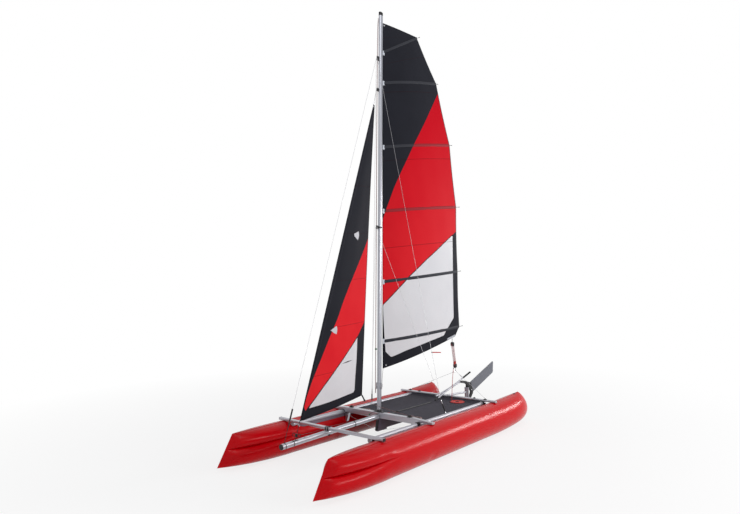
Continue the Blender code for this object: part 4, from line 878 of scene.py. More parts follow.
def add_pocket(number, place, tapes, red):
    """The tape that holds a batten, sewn on the port side from luff to leech, with its rod and luff car."""
    rows, reds, edges = [], [], []
    for share, rise in POCKET_SECTION:
        line = []
        for i in range(61):
            u = 0.006 + 0.990 * i / 60
            end = min(1.0, 14 * (1.0 - u), 30 * u)
            point = main_point(u, number)
            point += Vector((0, share * POCKET_HALF_WIDTH, 0.0006 + rise * max(0.15, end)))
            line.append(point)
            reds.append(inside_depth(point.x, point.y, red))
            edges.append(abs(share) * POCKET_HALF_WIDTH)
        rows.append(line)
    mesh = grid_mesh("pocket_%d" % number, rows, place)
    set_values(mesh, "red", reds)
    set_values(mesh, "edge", edges)
    pocket = new_object("pocket_%d" % number, mesh, tapes[0] if number <= 2 else tapes[1], "mainsail",
                        "sailcloth")
    thicken(pocket, 0.0006)
    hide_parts("batten_%d" % number)
    start = place @ (main_point(0.97, number) + Vector((0, 0, 0.003)))
    tangent = (main_point(1.0, number) - main_point(0.96, number)).normalized()
    end = place @ (main_point(1.0, number) + tangent * BATTEN_REACH[number] + Vector((0, 0, 0.001)))
    add_tube("batten_rod_%d" % number, [start, (start + end) / 2, end], 0.0035, "plastic", "mainsail",
             sides=10)
    add_turned("batten_cap_%d" % number, [(0.0052, 0.0), (0.0058, 0.003), (0.0058, 0.012), (0.0040, 0.015)],
               frame_of(end - (end - start).normalized() * 0.012, end - start), "plastic", "mainsail",
               sides=14)
    car = main_point(0.0, number) + Vector((TOP_CAR_OFFSET if number == 6 else CAR_OFFSET, 0, 0.001))
    add_block("luff_car_%d" % number, CAR_SIZE, place @ car, "white_plastic", "mainsail",
              turn=place.to_3x3().to_4x4(), bevel=0.009, segments=4)
    return pocket


def add_jib(cloth):
    place = jib_frame()
    columns = 44
    rows, leech_gap = [], []
    for j in range(141):
        v = j / 140
        row = []
        for i in range(columns + 1):
            u = i / columns
            point = jib_point(u, v)
            point.x -= 0.014 * math.sin(math.pi * v) * u ** 3
            fade = min(1.0, 8 * u, 8 * (1 - u)) * min(1.0, 10 * v, 8 * (1 - v))
            point.z += ripple(point.x * 1.7 + 2.0, point.y) * fade
            row.append(point)
        leech_gap.extend((row[-1] - point).length for point in row)
        rows.append(row)
    mesh = grid_mesh("jib_cloth", rows, place)
    red = red_panel(JIB_BLACK_BORDER, JIB_FILM_BORDER)
    places = set_sail_values(mesh, rows, red, JIB_FILM, leech_gap)
    windows = [max(inside_depth(x, y, patch) for patch in JIB_WINDOWS) for x, y in places]
    set_values(mesh, "window", windows)
    set_values(mesh, "batten", [0.009 - segment_distance(x, y, *JIB_BATTEN) for x, y in places])
    sail = new_object("jib_cloth", mesh, cloth, "jib", "sailcloth")
    thicken(sail, 0.0012)
    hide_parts("jib")
    return sail


def hull_stations(count_bow, count_middle, count_stern):
    bow = [BOW_REACH * (i / count_bow) ** 1.7 for i in range(count_bow + 1)]
    stern = [HULL_LENGTH - STERN_RISE * (i / count_stern) ** 1.7 for i in range(count_stern + 1)]
    middle = [bow[-1] + (stern[-1] - bow[-1]) * i / count_middle for i in range(1, count_middle)]
    return bow + middle + stern[::-1]


def taper(distance, reach):
    if distance >= reach:
        return 1.0
    return math.sqrt(1.0 - (1.0 - distance / reach) ** 2)


def coil_route(centre, outer, pitch, turns, start_angle, sense=1, steps=30):
    """A flat spiral from its rim inwards."""
    route = []
    total = int(turns * steps)
    for k in range(total + 1):
        angle = start_angle + sense * 2 * math.pi * k / steps
        radius = outer - pitch * k / steps
        route.append(centre + Vector((radius * math.cos(angle), radius * math.sin(angle), 0.0)))
    return route


def rays(tree, *kinds):
    """1 for a ray of one of these kinds, 0 for any other."""
    path = tree.nodes.new("ShaderNodeLightPath")
    found = path.outputs[kinds[0]]
    for kind in kinds[1:]:
        either = tree.nodes.new("ShaderNodeMath")
        either.operation = "MAXIMUM"
        tree.links.new(found, either.inputs[0])
        tree.links.new(path.outputs[kind], either.inputs[1])
        found = either.outputs[0]
    return found


def mix_shaders(tree, share, low, high, output):
    """Blend two shaders into an output's surface."""
    blend = tree.nodes.new("ShaderNodeMixShader")
    for socket, source in zip(blend.inputs, (share, low, high)):
        tree.links.new(source, socket)
    tree.links.new(blend.outputs[0], output.inputs["Surface"])


def add_glow(tree, kind, colour, strength):
    glow = tree.nodes.new(kind)
    glow.inputs["Color"].default_value = (*colour, 1.0)
    glow.inputs["Strength"].default_value = strength
    return glow.outputs[0]


def add_floor():
    """A pale floor that fades into the surround away from the boat."""
    mesh = bpy.data.meshes.new("floor")
    size = FLOOR_HALF_SIZE
    mesh.from_pydata([(-size, -size, 0), (size, -size, 0), (size, size, 0), (-size, size, 0)], [],
                     [(0, 1, 2, 3)])
    floor = bpy.data.objects.new("floor", mesh)
    bpy.context.scene.collection.objects.link(floor)
    look = bpy.data.materials.new("floor_white")
    look.use_nodes = True
    tree = look.node_tree
    paper = tree.nodes["Principled BSDF"]
    paper.inputs["Base Color"].default_value = (0.86, 0.86, 0.87, 1.0)
    paper.inputs["Roughness"].default_value = 0.9
    glow = add_glow(tree, "ShaderNodeEmission", (1.0, 1.0, 1.0), 1.0)
    seen = tree.nodes.new("ShaderNodeMath")
    seen.operation = "MULTIPLY"
    tree.links.new(rays(tree, "Is Camera Ray", "Is Glossy Ray"), seen.inputs[0])
    coords = tree.nodes.new("ShaderNodeTexCoord")
    reach = tree.nodes.new("ShaderNodeVectorMath")
    reach.operation = "LENGTH"
    tree.links.new(coords.outputs["Object"], reach.inputs[0])
    fade = tree.nodes.new("ShaderNodeMapRange")
    for socket, value in FLOOR_FADE.items():
        fade.inputs[socket].default_value = value
    tree.links.new(reach.outputs["Value"], fade.inputs["Value"])
    tree.links.new(fade.outputs["Result"], seen.inputs[1])
    mix_shaders(tree, seen.outputs[0], paper.outputs[0], glow, tree.nodes["Material Output"])
    mesh.materials.append(look)


def add_surround():
    """Soft light from all sides, and plain white where it is seen straight, mirrored or through film."""
    world = bpy.data.worlds.new("world")
    bpy.context.scene.world = world
    world.use_nodes = True
    tree = world.node_tree
    tree.nodes.clear()
    output = tree.nodes.new("ShaderNodeOutputWorld")
    light = add_glow(tree, "ShaderNodeBackground", (0.97, 0.98, 1.0), SURROUND_STRENGTH)
    white = add_glow(tree, "ShaderNodeBackground", (1.0, 1.0, 1.0), 1.0)
    seen = rays(tree, "Is Camera Ray", "Is Glossy Ray", "Is Transmission Ray")
    mix_shaders(tree, seen, light, white, output)


def add_light(name, place, target, size, power):
    data = bpy.data.lights.new(name, "AREA")
    data.shape = "RECTANGLE"
    data.size = size[0]
    data.size_y = size[1]
    data.energy = power
    data.color = (1.0, 0.99, 0.98)
    lamp = bpy.data.objects.new(name, data)
    lamp.visible_camera = False
    lamp.location = place
    lamp.rotation_euler = (Vector(target) - Vector(place)).to_track_quat("-Z", "Y").to_euler()
    bpy.context.scene.collection.objects.link(lamp)


def add_lights():
    add_light("key", (4.5, -3.5, 9.5), (0.3, 0, 1.0), (5.0, 5.0), 190.0)
    add_light("strip", (6.2, 10.5, 4.6), (0.9, 0.4, 0.35), (5.5, 1.1), 500.0)
    add_light("side", (9.0, 1.1, 3.3), (0.9, -1.8, 0.3), (4.2, 1.1), 230.0)
    add_light("fill", (-6.0, -7.0, 6.0), (0, 0, 1.0), (4.0, 4.0), 60.0)


def dress(node, look):
    """Give a carried-over node its finish."""
    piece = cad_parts[node]
    if not piece.material_slots:
        piece.data.materials.append(look)
    for slot in piece.material_slots:
        slot.material = look


def stem_taper(distance):
    """Growth of the hull's width behind the flat flange of its stem."""
    return taper(max(0.0, distance - STEM_FLANGE), BOW_TAPER)


def hull_ring(distance, x_centre, sides):
    """One ring of an inflated hull at a distance from its bow seam. A crease parts the bow into two lobes."""
    from_stern = HULL_LENGTH - distance
    bow_near = max(0.0, 1.0 - distance / BOW_REACH)
    stern_near = max(0.0, 1.0 - from_stern / STERN_RISE)
    bottom = BOW_LIFT * bow_near ** 2.2 + STERN_LIFT * stern_near ** 1.6
    top = 2 * HULL_RADIUS - BOW_TOP_DROP * bow_near + STERN_TOP_RISE * stern_near ** 1.2
    corner = max(0.0, 1.0 - distance / STEM_CORNER)
    top -= STEM_CORNER * (1.0 - math.sqrt(1.0 - corner ** 2))
    corner = max(0.0, 1.0 - from_stern / STERN_CORNER)
    top -= STERN_CORNER * 0.5 * (1.0 - math.sqrt(1.0 - corner ** 2))
    half_height = (top - bottom) / 2
    middle = (top + bottom) / 2
    sharp = min(1.0, distance / 0.14)
    sharp = 0.55 + 0.45 * sharp * sharp * (3 - 2 * sharp)
    full = min(sharp * stem_taper(distance), taper(from_stern, STERN_NARROWING))
    half_width = max(SEAM_HALF_WIDTH * 0.5, HULL_RADIUS * full)
    crease = 0.04 + 0.24 * distance / BOW_REACH
    lobed = CREASE_DEPTH * bow_near ** 0.85 * min(1.0, distance / 0.06)
    bow_shift = max(0.0, 1.0 - distance / (BOW_TAPER * 0.9))
    stern_shift = max(0.0, 1.0 - from_stern / STERN_TAPER) ** 1.5
    quarter = sides // 4
    ring = []
    for i in range(sides):
        step = i if i <= sides // 2 else sides - i
        side = 1 if i <= sides // 2 else -1
        if step <= quarter:
            centre, radius = (crease - 1) / 2, (crease + 1) / 2
            turn = math.pi * (step / quarter - 0.5)
        else:
            centre, radius = (crease + 1) / 2, (1 - crease) / 2
            turn = math.pi * ((step - quarter) / quarter - 0.5)
        v = centre + radius * math.sin(turn)
        plain = max(0.0, 1.0 - v * v) ** (0.5 - 0.12 * bow_near)
        wide = plain * (1.0 - lobed) + math.cos(turn) * lobed
        rise = (v + 1.0) / 2.0
        y = -BOW_FORWARD + distance + (BOW_RAKE * rise - STEM_REACH) * bow_shift
        overhang = STERN_OVERHANG * max(0.0, rise - 0.22) ** 1.6
        y -= stern_shift * (STERN_UNDERCUT * (1.0 - rise) ** 3 + overhang)
        y -= stern_shift * STERN_CUT
        wrinkle = 0.0016 * math.sin(23.0 * distance + 3.0 * v) * math.exp(-((distance - 0.9) / 0.5) ** 2)
        wrinkle -= 0.014 * math.exp(-((distance - WRINKLE_AT) / 0.030) ** 2 - ((v + 0.50) / 0.24) ** 2)
        ring.append(at(x_centre + side * (half_width * wide + wrinkle * full * plain), y,
                       middle + half_height * v))
    return ring


def add_hulls(fabric):
    for side, sign in SIDES:
        rings = [hull_ring(distance, sign * HULL_X, 128) for distance in hull_stations(64, 40, 48)]
        hull = add_loft("hull_skin_" + side, rings, fabric, "boat", "hull_fabric", angle=80)
        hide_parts("hull_" + side)
        add_hull_trim(side, rings, fabric)


def hull_top(rings, y):
    """The top point of a hull and its slope at a distance along the boat."""
    tops = [ring[len(ring) // 2] for ring in rings]
    for a, b in zip(tops, tops[1:]):
        if a.y <= y + SHIFT <= b.y and b.y > a.y:
            return a.lerp(b, (y + SHIFT - a.y) / (b.y - a.y)), (b - a).normalized()
    return tops[-1], Vector((0, 1, 0))


def add_hull_trim(side, rings, fabric):
    """Seam tapes, the carrying tabs that lace the beams down, and the air valve."""
    top = len(rings[0]) // 2
    rows = []
    for ring in rings[2:-2]:
        rows.append([ring[top + k] + Vector((0, 0, SEAM_TAPE_LIFT)) for k in (-2, -1, 0, 1, 2)])
    mesh = grid_mesh("hull_tape_top_" + side, rows, Matrix.Identity(4))
    thicken(new_object("hull_tape_top_" + side, mesh, fabric, "boat", "hull_fabric"), 0.0016)
    valve, along = hull_top(rings, 2.46)
    normal = Vector((1, 0, 0)).cross(along)
    normal = normal if normal.z > 0 else -normal
    add_turned("air_valve_" + side, [(0.020, -0.002), (0.020, 0.002), (0.016, 0.0035), (0.015, 0.006),
                                     (0.012, 0.007), (0.011, 0.005), (0.003, 0.005)], frame_of(valve, normal),
               "plastic", sides=28)
    for name, y in (("mid", 0.105), ("aft", 1.826)):
        top, along = hull_top(rings, y)
        add_tab("hull_tab_%s_%s" % (name, side), top, along, fabric)


def add_tab(name, top, along, fabric):
    """A doubled tongue of hull fabric with an eye, laced to the beam in front of it."""
    across = Vector((1, 0, 0))
    normal = across.cross(along)
    normal = normal if normal.z > 0 else -normal
    rows = []
    for share in (-1.0, -0.6, -0.2, 0.2, 0.6, 1.0):
        row = []
        for i in range(9):
            u = i / 8
            curl = 0.002 + 0.016 * max(0.0, 0.5 - u) ** 1.3
            fall = 0.030 * share * (1.0 - 0.25 * u)
            drop = HULL_RADIUS - math.sqrt(HULL_RADIUS ** 2 - fall ** 2)
            row.append(top + along * (u - 0.5) * 0.085 + across * fall + normal * (curl - drop))
        rows.append(row)
    mesh = grid_mesh(name, rows, Matrix.Identity(4))
    thicken(new_object(name, mesh, fabric, "boat", "hull_fabric"), 0.003)
    eye = top + along * -0.026 + normal * 0.0085
    lace = []
    for k in range(25):
        t = k / 24
        lace.append(eye + across * (0.016 * math.sin(2 * math.pi * 2 * t))
                    - along * (0.030 * (0.5 - 0.5 * math.cos(2 * math.pi * 2 * t)))
                    + normal * (0.012 * math.sin(math.pi * 2 * t) ** 2 + 0.004 * t))
    add_tube(name + "_lacing", lace, 0.0028, "dark_rope", sides=8)


def block_frame(centre, along):
    """Local X along the falls, local Y across them and local Z along the sheave's pin."""
    x_axis = Vector(along).normalized()
    pin = Vector((1, 0, 0))
    pin = (pin - x_axis * pin.dot(x_axis)).normalized()
    side = pin.cross(x_axis)
    return Matrix.Translation(centre) @ Matrix((x_axis, side, pin)).transposed().to_4x4()


def sheet_places():
    """Both blocks' centres, the foot point above them, the bridle's apex and the falls' aim."""
    foot = sail_frame() @ main_point(0.95, 0.0) - MAST_AXIS * 0.0018
    upper = foot + Vector((-0.006, 0.013, -0.100))
    lean = math.radians(FALLS_LEAN)
    swing = math.radians(20.0)
    aim = Vector((-math.sin(swing) * math.sin(lean), math.cos(swing) * math.sin(lean), -math.cos(lean)))
    lower = upper + aim * FALLS_LENGTH
    apex = lower + aim * 0.105
    return upper, lower, foot, apex, aim


def add_falls():
    """Four falls of the mainsheet round its sheaves, and the turns that hold them over the lower block."""
    upper, lower, foot, _, aim = sheet_places()
    radius = 0.0212
    spread = 0.0075
    top = block_frame(upper, aim).to_3x3()
    side = top @ Vector((0, 1, 0))
    pin = top @ Vector((0, 0, 1))
    high = upper + aim * 0.008
    low = lower - aim * 0.008
    start = upper + aim * -0.0174
    turn = [math.pi * k / 12 for k in range(13)]
    route = [start + side * radius + pin * spread]
    route += [low + side * radius * math.cos(a) + aim * radius * math.sin(a) + pin * spread for a in turn]
    route += [high - side * radius * math.cos(a) - aim * radius * math.sin(a)
              + pin * spread * (1 - 2 * a / math.pi) for a in turn]
    route += [low + side * radius * math.cos(a) + aim * radius * math.sin(a) - pin * spread for a in turn]
    route.append(start - side * radius - pin * spread)
    falls = add_tube("falls_rope", route, ROPE_RADIUS, "falls_rope", "mainsail", sides=10)
    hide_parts("mainsheet_falls")
    wrap = []
    for k in range(73):
        angle = 2 * math.pi * k / 16
        height = 0.040 + 0.034 * k / 72
        wrap.append(lower - aim * height + side * 0.0275 * math.cos(angle) + pin * 0.0155 * math.sin(angle))
    add_tube("falls_turns", wrap, 0.0038, "red_rope", "mainsail", sides=8)
    add_turned("foot_shackle", [(0.007, -0.006), (0.0085, -0.004), (0.0085, 0.004), (0.007, 0.006)],
               frame_of(foot - MAST_AXIS * 0.020, foot - upper), "steel", "mainsail", sides=18)


def add_mainsheet_rope():
    """The sheet's tail and the flat coil that its length lies in, as one rope."""
    _, lower, _, _, aim = sheet_places()
    arm_root = lower + aim * 0.0265
    arm_end = lower + Vector((-0.006, -0.048, -0.044))
    level = DECK_Z + 0.0043
    start = arm_end + (arm_root - arm_end).normalized() * 0.007 - Vector((0, 0, 0.0086))
    drop = start.z - level
    centre = at(COIL_CENTRE_X, COIL_CENTRE_Y, level)

    def round_coil(radius, degrees, lift=0.0):
        angle = math.radians(degrees)
        return centre + Vector((radius * math.cos(angle), radius * math.sin(angle), lift))

    knots = [start, start + Vector((-0.006, -0.008, -0.11 * drop)),
             start + Vector((-0.016, -0.012, -0.33 * drop)), start + Vector((-0.028, -0.016, -0.62 * drop)),
             start + Vector((-0.040, -0.008, -0.88 * drop)), round_coil(0.118, 178, 0.022),
             round_coil(0.121, 163, 0.004), round_coil(0.116, 142)]
    coil = coil_route(centre, 0.116, COIL_PITCH, COIL_TURNS, math.radians(142), -1, 32)
    route = smooth_route(knots, 5) + coil[1:]
    rope = add_tube("mainsheet_rope", route, ROPE_RADIUS, "red_rope", None, sides=10)
    end = route[-1]
    whip = add_tube("mainsheet_end", route[-44:-1] + [end + (end - route[-2]).normalized() * 0.004],
                    ROPE_RADIUS * 1.12, "dark_rope", sides=10)
    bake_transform(rope)
    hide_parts("mainsheet_tail", "mainsheet_coil")


def add_jib_sheets():
    """The jib sheet's two coiled tails from their cleats, and the span between them that holds the clew."""
    jaw = MAIN_TOP_Z + 0.0003 + 0.010 + SHEET_DIAMETER
    level = DECK_Z + 0.0003 + SHEET_DIAMETER / 2
    back = 0.032 + SHEET_DIAMETER
    clew = JIB_CLEW + Vector((0, SHIFT, 0))
    end = clew + Vector((0, math.sin(math.radians(33)), -math.cos(math.radians(33)))) * 0.101
    low = end + Vector((0, 0.010, -0.008))
    for side, sign in SIDES:
        knots = [at(CLEAT_X, 0, jaw), at(0.574, 0, jaw), at(0.594, 0.004, jaw),
                 at(0.606, back - 0.016, jaw - 0.003), at(0.605, back + 0.006, jaw - 0.020),
                 at(0.592, back + 0.028, DECK_Z + 0.030), at(0.577, back + 0.060, level + 0.006),
                 at(0.570, back + 0.110, level + 0.0005), at(0.5665, back + 0.165, level)]
        centre = at(JIB_COIL_X, JIB_COIL_Y, level)
        coil = coil_route(centre, 0.0742, 0.0064, 3.1, 0.0, 1, 30)
        route = smooth_route(knots + [coil[0]], 4) + coil[1:]
        route = [Vector((sign * point.x, point.y, point.z)) for point in route]
        # Painted light: the tails coiled on the deck take a lighter copy of the rope that the span wears.
        rope = add_tube("jib_sheet_tail_" + side, route, SHEET_DIAMETER / 2, "coil_rope", sides=8)
        tip = route[-1]
        whip = add_tube("jib_sheet_end_" + side,
                        [route[-3], route[-2], tip + (tip - route[-2]).normalized() * 0.003],
                        SHEET_DIAMETER / 2 * 1.12, "dark_rope", sides=8)
        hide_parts("jib_sheet_coil_" + side, "jib_sheet")
        foot = at(sign * CLEAT_X, 0, jaw)
        span = [foot + (low - foot) * k / 24 for k in range(25)]
        span = [point - Vector((0, 0, 0.010 * math.sin(math.pi * k / 24))) for k, point in enumerate(span)]
        leg = add_tube("jib_sheet_span_" + side, span, SHEET_DIAMETER / 2, "brown_rope", None, sides=8)
        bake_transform(leg)
    add_turned("clew_sheave", [(0.013, -0.006), (0.013, -0.004), (0.009, -0.002), (0.009, 0.002),
                               (0.013, 0.004), (0.013, 0.006)],
               frame_of(end - Vector((0, 0.004, -0.006)), (1, 0, 0)), "plastic", "jib", sides=24)


def add_bridle():
    """The wire bridle from the rear beam's ends to the lower block, with its ring, plate and turnbuckle."""
    apex = sheet_places()[3]
    beam_top = BEAM_Z + REAR_BEAM_HEIGHT

    def span(name, points, radius, look="steel", sides=8):
        piece = add_tube(name, points, radius, look, None, sides=sides)
        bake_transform(piece)
        return piece

    for side, sign in SIDES:
        start = at(sign * BRIDLE_SPREAD, REAR_BEAM_Y, beam_top + 0.006)
        leg = span("bridle_leg_" + side, [start + (apex - start) * k / 20 for k in range(21)], 0.0021, "wire")
        along = (start - apex).normalized()
        if sign > 0:
            body = [apex + along * (0.085 + 0.075 * k / 5) for k in range(6)]
            span("bridle_turnbuckle", body, 0.0062, sides=12)
        else:
            plate = [apex + along * (0.026 + 0.045 * k / 3) for k in range(4)]
            span("bridle_plate", plate, 0.0085, sides=6)
        swage = [start - along * (0.012 + 0.034 * k / 3) for k in range(4)]
        span("bridle_swage_" + side, swage, 0.0042, sides=10)
    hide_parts("mainsheet_bridle")
    ring = []
    for k in range(25):
        angle = 2 * math.pi * k / 24
        ring.append(apex + Vector((0.012 * math.cos(angle), 0.0, 0.012 * math.sin(angle))))
    add_tube("bridle_ring", ring, 0.0025, "steel", "mainsail", sides=8)


def add_deck():
    """The trampoline: a hemmed sheet of mesh, pulled tight between tubes and beams, with ridges along it."""
    half = TUBE_X - TUBE_RADIUS - 0.0004
    front = 0.0324
    back = REAR_BEAM_Y + 0.0270
    columns, lines = 96, 120
    rows, edges = [], []
    for j in range(lines + 1):
        y = front + (back - front) * j / lines
        row = []
        for i in range(columns + 1):
            x = -half + 2 * half * i / columns
            gap = min(half - abs(x), y - front, back - y)
            ridge = 0.0006 * math.sin(x * 61.0 + 0.9 * math.sin(y * 2.1))
            ridge += 0.0005 * math.sin(x * 23.0 - y * 3.0)
            ease = min(1.0, gap / 0.06)
            climb = max(0.0, min(1.0, (y - REAR_BEAM_Y + 0.075) / 0.045))
            lift = 0.0255 * climb * climb * (3 - 2 * climb)
            row.append(at(x, y, DECK_Z - 0.0020 + ridge * ease - 0.0005 * ease + lift))
            edges.append(gap)
        rows.append(row)
    mesh = grid_mesh("deck_mesh", rows, Matrix.Identity(4))
    set_values(mesh, "edge", edges)
    deck = new_object("deck_mesh", mesh, "deck")
    thicken(deck, 0.0012)
    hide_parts("trampoline")
    strap_rows = []
    for share in (-1.0, -0.5, 0.0, 0.5, 1.0):
        line = []
        for k in range(65):
            y = 0.0443 + 1.264 * k / 64
            x = -0.004 * math.sin(3.0 * y) + share * 0.019
            line.append(at(x, y, DECK_Z + 0.0024 + 0.0004 * (1 - share ** 2) + 0.0006 * math.sin(9 * y) ** 2))
        strap_rows.append(line)
    mesh = grid_mesh("strap_webbing", strap_rows, Matrix.Identity(4))
    strap = new_object("strap_webbing", mesh, "webbing")
    thicken(strap, 0.0022)
    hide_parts("hiking_strap")
    for k, y in enumerate((0.385, 0.412, 0.439)):
        add_block("strap_buckle_%d" % (k + 1), (0.052, 0.006, 0.006),
                                at(-0.003, y, DECK_Z + 0.0065), "plastic", bevel=0.002)
    for k, x in enumerate((-0.0275, 0.0215)):
        add_block("strap_buckle_side_%d" % (k + 1), (0.006, 0.060, 0.006),
                                at(x, 0.412, DECK_Z + 0.0065), "plastic", bevel=0.002)


def add_pads():
    """A wedge of padded fabric under each side tube, piped along its edges and swelling between its seams."""
    line = math.atan2(TUBE_Z - HULL_RADIUS, TUBE_X - HULL_X)
    for side, sign in SIDES:
        node_low, node_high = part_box("hull_pad_" + side)
        front, back = node_low.y - SHIFT, node_high.y - SHIFT
        rings = []
        count = 60
        for j in range(count + 1):
            y = front + (back - front) * j / count
            end = min(1.0, math.sqrt(max(0.0, min(j, count - j)) / 2.0 + 0.15))
            swell = 0.0006 * math.sin(math.pi * (j % 10) / 10)
            ring = []
            for k in range(13):
                angle = line + math.radians(-9 + 24 * k / 12)
                radius = HULL_RADIUS + 0.0010
                ring.append((HULL_X + radius * math.cos(angle), HULL_RADIUS + radius * math.sin(angle)))
            for k in range(13):
                angle = line + math.pi + math.radians(-62 + 102 * k / 12)
                radius = TUBE_RADIUS + 0.0006 + swell
                ring.append((TUBE_X + radius * math.cos(angle), TUBE_Z + radius * math.sin(angle)))
            middle_x = sum(x for x, z in ring) / len(ring)
            middle_z = sum(z for x, z in ring) / len(ring)
            rings.append([at(sign * (middle_x + (x - middle_x) * end), y, middle_z + (z - middle_z) * end)
                          for x, z in ring])
        pad = add_loft("pad_%s" % side, rings, "pad", angle=60)
        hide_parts("hull_pad_" + side)
        for name, index in (("low", 0), ("high", 12)):
            edge = [ring[index] for ring in rings[1:-1]]
            add_tube("pad_piping_%s_%s" % (name, side), edge, 0.0022, "piping", sides=8)


def add_plug(name, centre, size, look="plastic"):
    """A moulded end plug."""
    add_block(name, size, centre, look, bevel=0.0025)


def add_frame_trim():
    """End plugs, clamps and the small fittings of the deck frame."""
    beam_top = BEAM_Z + REAR_BEAM_HEIGHT
    for side, sign in SIDES:
        add_plug("front_plug_" + side, at(sign * 0.9655, FRONT_BEAM_Y, BEAM_Z + 0.018),
                 (0.007, 0.0505, 0.0365))
        add_plug("main_plug_" + side, at(sign * 0.951, 0, BEAM_Z + 0.0125), (0.008, 0.0645, 0.0235),
                 "grey_plastic")
        add_plug("rear_plug_" + side, at(sign * 0.9425, REAR_BEAM_Y, BEAM_Z + 0.015), (0.007, 0.0555, 0.0305),
                 "grey_plastic")
        front = FRONT_BEAM_Y + 0.008
        length = REAR_BEAM_Y + 0.0275 + TUBE_OVERHANG - front
        profile = [(0.0270, 0.004), (0.0270, 0.0), (0.0294, 0.0), (0.0300, 0.0012), (0.0300, length - 0.0012),
                   (0.0294, length), (0.0270, length), (0.0270, length - 0.004)]
        tube = add_turned("side_tube_skin_" + side, profile,
                          frame_of(at(sign * TUBE_X, front, TUBE_Z), (0, 1, 0)), "tube_y", sides=64, angle=40)
        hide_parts("side_tube_" + side)
        for name, y, turn in (("fore", front, -1), ("aft", front + length, 1)):
            add_turned("tube_plug_%s_%s" % (name, side), [(0.0268, -0.003), (0.0268, 0.0), (0.0240, 0.0015),
                                                          (0.012, 0.0020)],
                       frame_of(at(sign * TUBE_X, y, TUBE_Z), (0, turn, 0)), "grey_plastic", sides=32)
        add_clamp("main_clamp_" + side, sign, -0.056, 0.040)
        add_clamp("front_clamp_" + side, sign, FRONT_BEAM_Y + 0.044, 0.030)
        add_clamp("rear_clamp_" + side, sign, REAR_BEAM_Y - 0.046, 0.030)
        for name, x, wide in (("inner", 0.548, 0.034), ("outer", 0.748, 0.040)):
            add_block("beam_cleat_%s_%s" % (name, side), (wide, 0.044, 0.009),
                      at(sign * x, REAR_BEAM_Y, beam_top + 0.0045), "plastic", bevel=0.003, segments=3)
            add_turned("beam_knob_%s_%s" % (name, side),
                       [(0.010, 0.0), (0.011, 0.006), (0.009, 0.011), (0.003, 0.012)],
                       frame_of(at(sign * (x + 0.004), REAR_BEAM_Y - 0.004, beam_top + 0.008), (0, 0, 1)),
                       "plastic", sides=20)
        add_turned("beam_bolt_" + side, BOLT_HEAD,
                   frame_of(at(sign * 0.650, FRONT_BEAM_Y - 0.025, BEAM_Z + 0.018), (0, -1, 0)), "steel",
                   sides=16)
        for name, y in (("fore", -0.018), ("aft", 0.018)):
            add_turned("main_bolt_%s_%s" % (name, side), BOLT_HEAD,
                       frame_of(at(sign * TUBE_X, y, MAIN_TOP_Z - 0.0075), (0.09 * sign, 0, 1)), "steel",
                       sides=16)
        outer = TUBE_X - TUBE_RADIUS - 0.012
        top = TUBE_TOP_Z - 0.035
        add_block("bracket_cap_" + side, (0.060, 0.046, 0.012), at(sign * (outer - 0.042), 0, top - 0.010),
                  "plastic", bevel=0.003)
        stay = [at(sign * 0.018, -0.052, 0.262), at(sign * (outer - 0.060), -0.0215, top - 0.030)]
        add_tube("case_stay_" + side, stay, 0.0016, "wire", sides=8)
        add_turned("case_stay_end_" + side, [(0.004, 0.0), (0.004, 0.030), (0.002, 0.034)],
                   frame_of(stay[1], stay[0] - stay[1]), "steel", sides=12)
    add_block("case_edge", (0.047, 0.006, 0.150), at(0, -0.0585, 0.336), "rubber",
              turn=Matrix.Rotation(math.radians(-12.5), 4, "X"), bevel=0.002)


def add_clamp(name, sign, y, width):
    """A moulded saddle round the outer half of a side tube, with its bolt lug."""
    rings = []
    for side in (-width / 2, width / 2):
        ring = []
        for k in range(17):
            angle = math.radians(100 - 190 * k / 16)
            ring.append(at(sign * (TUBE_X + 0.0375 * math.cos(angle)), y + side,
                           TUBE_Z + 0.0375 * math.sin(angle)))
        for k in range(17):
            angle = math.radians(-90 + 190 * k / 16)
            ring.append(at(sign * (TUBE_X + 0.0305 * math.cos(angle)), y + side,
                           TUBE_Z + 0.0305 * math.sin(angle)))
        rings.append(ring)
    add_loft(name, rings, "plastic", angle=30)
    add_block(name + "_lug", (0.022, width * 0.7, 0.024), at(sign * (TUBE_X + 0.043), y, TUBE_Z + 0.012),
              "plastic", bevel=0.005, segments=3)


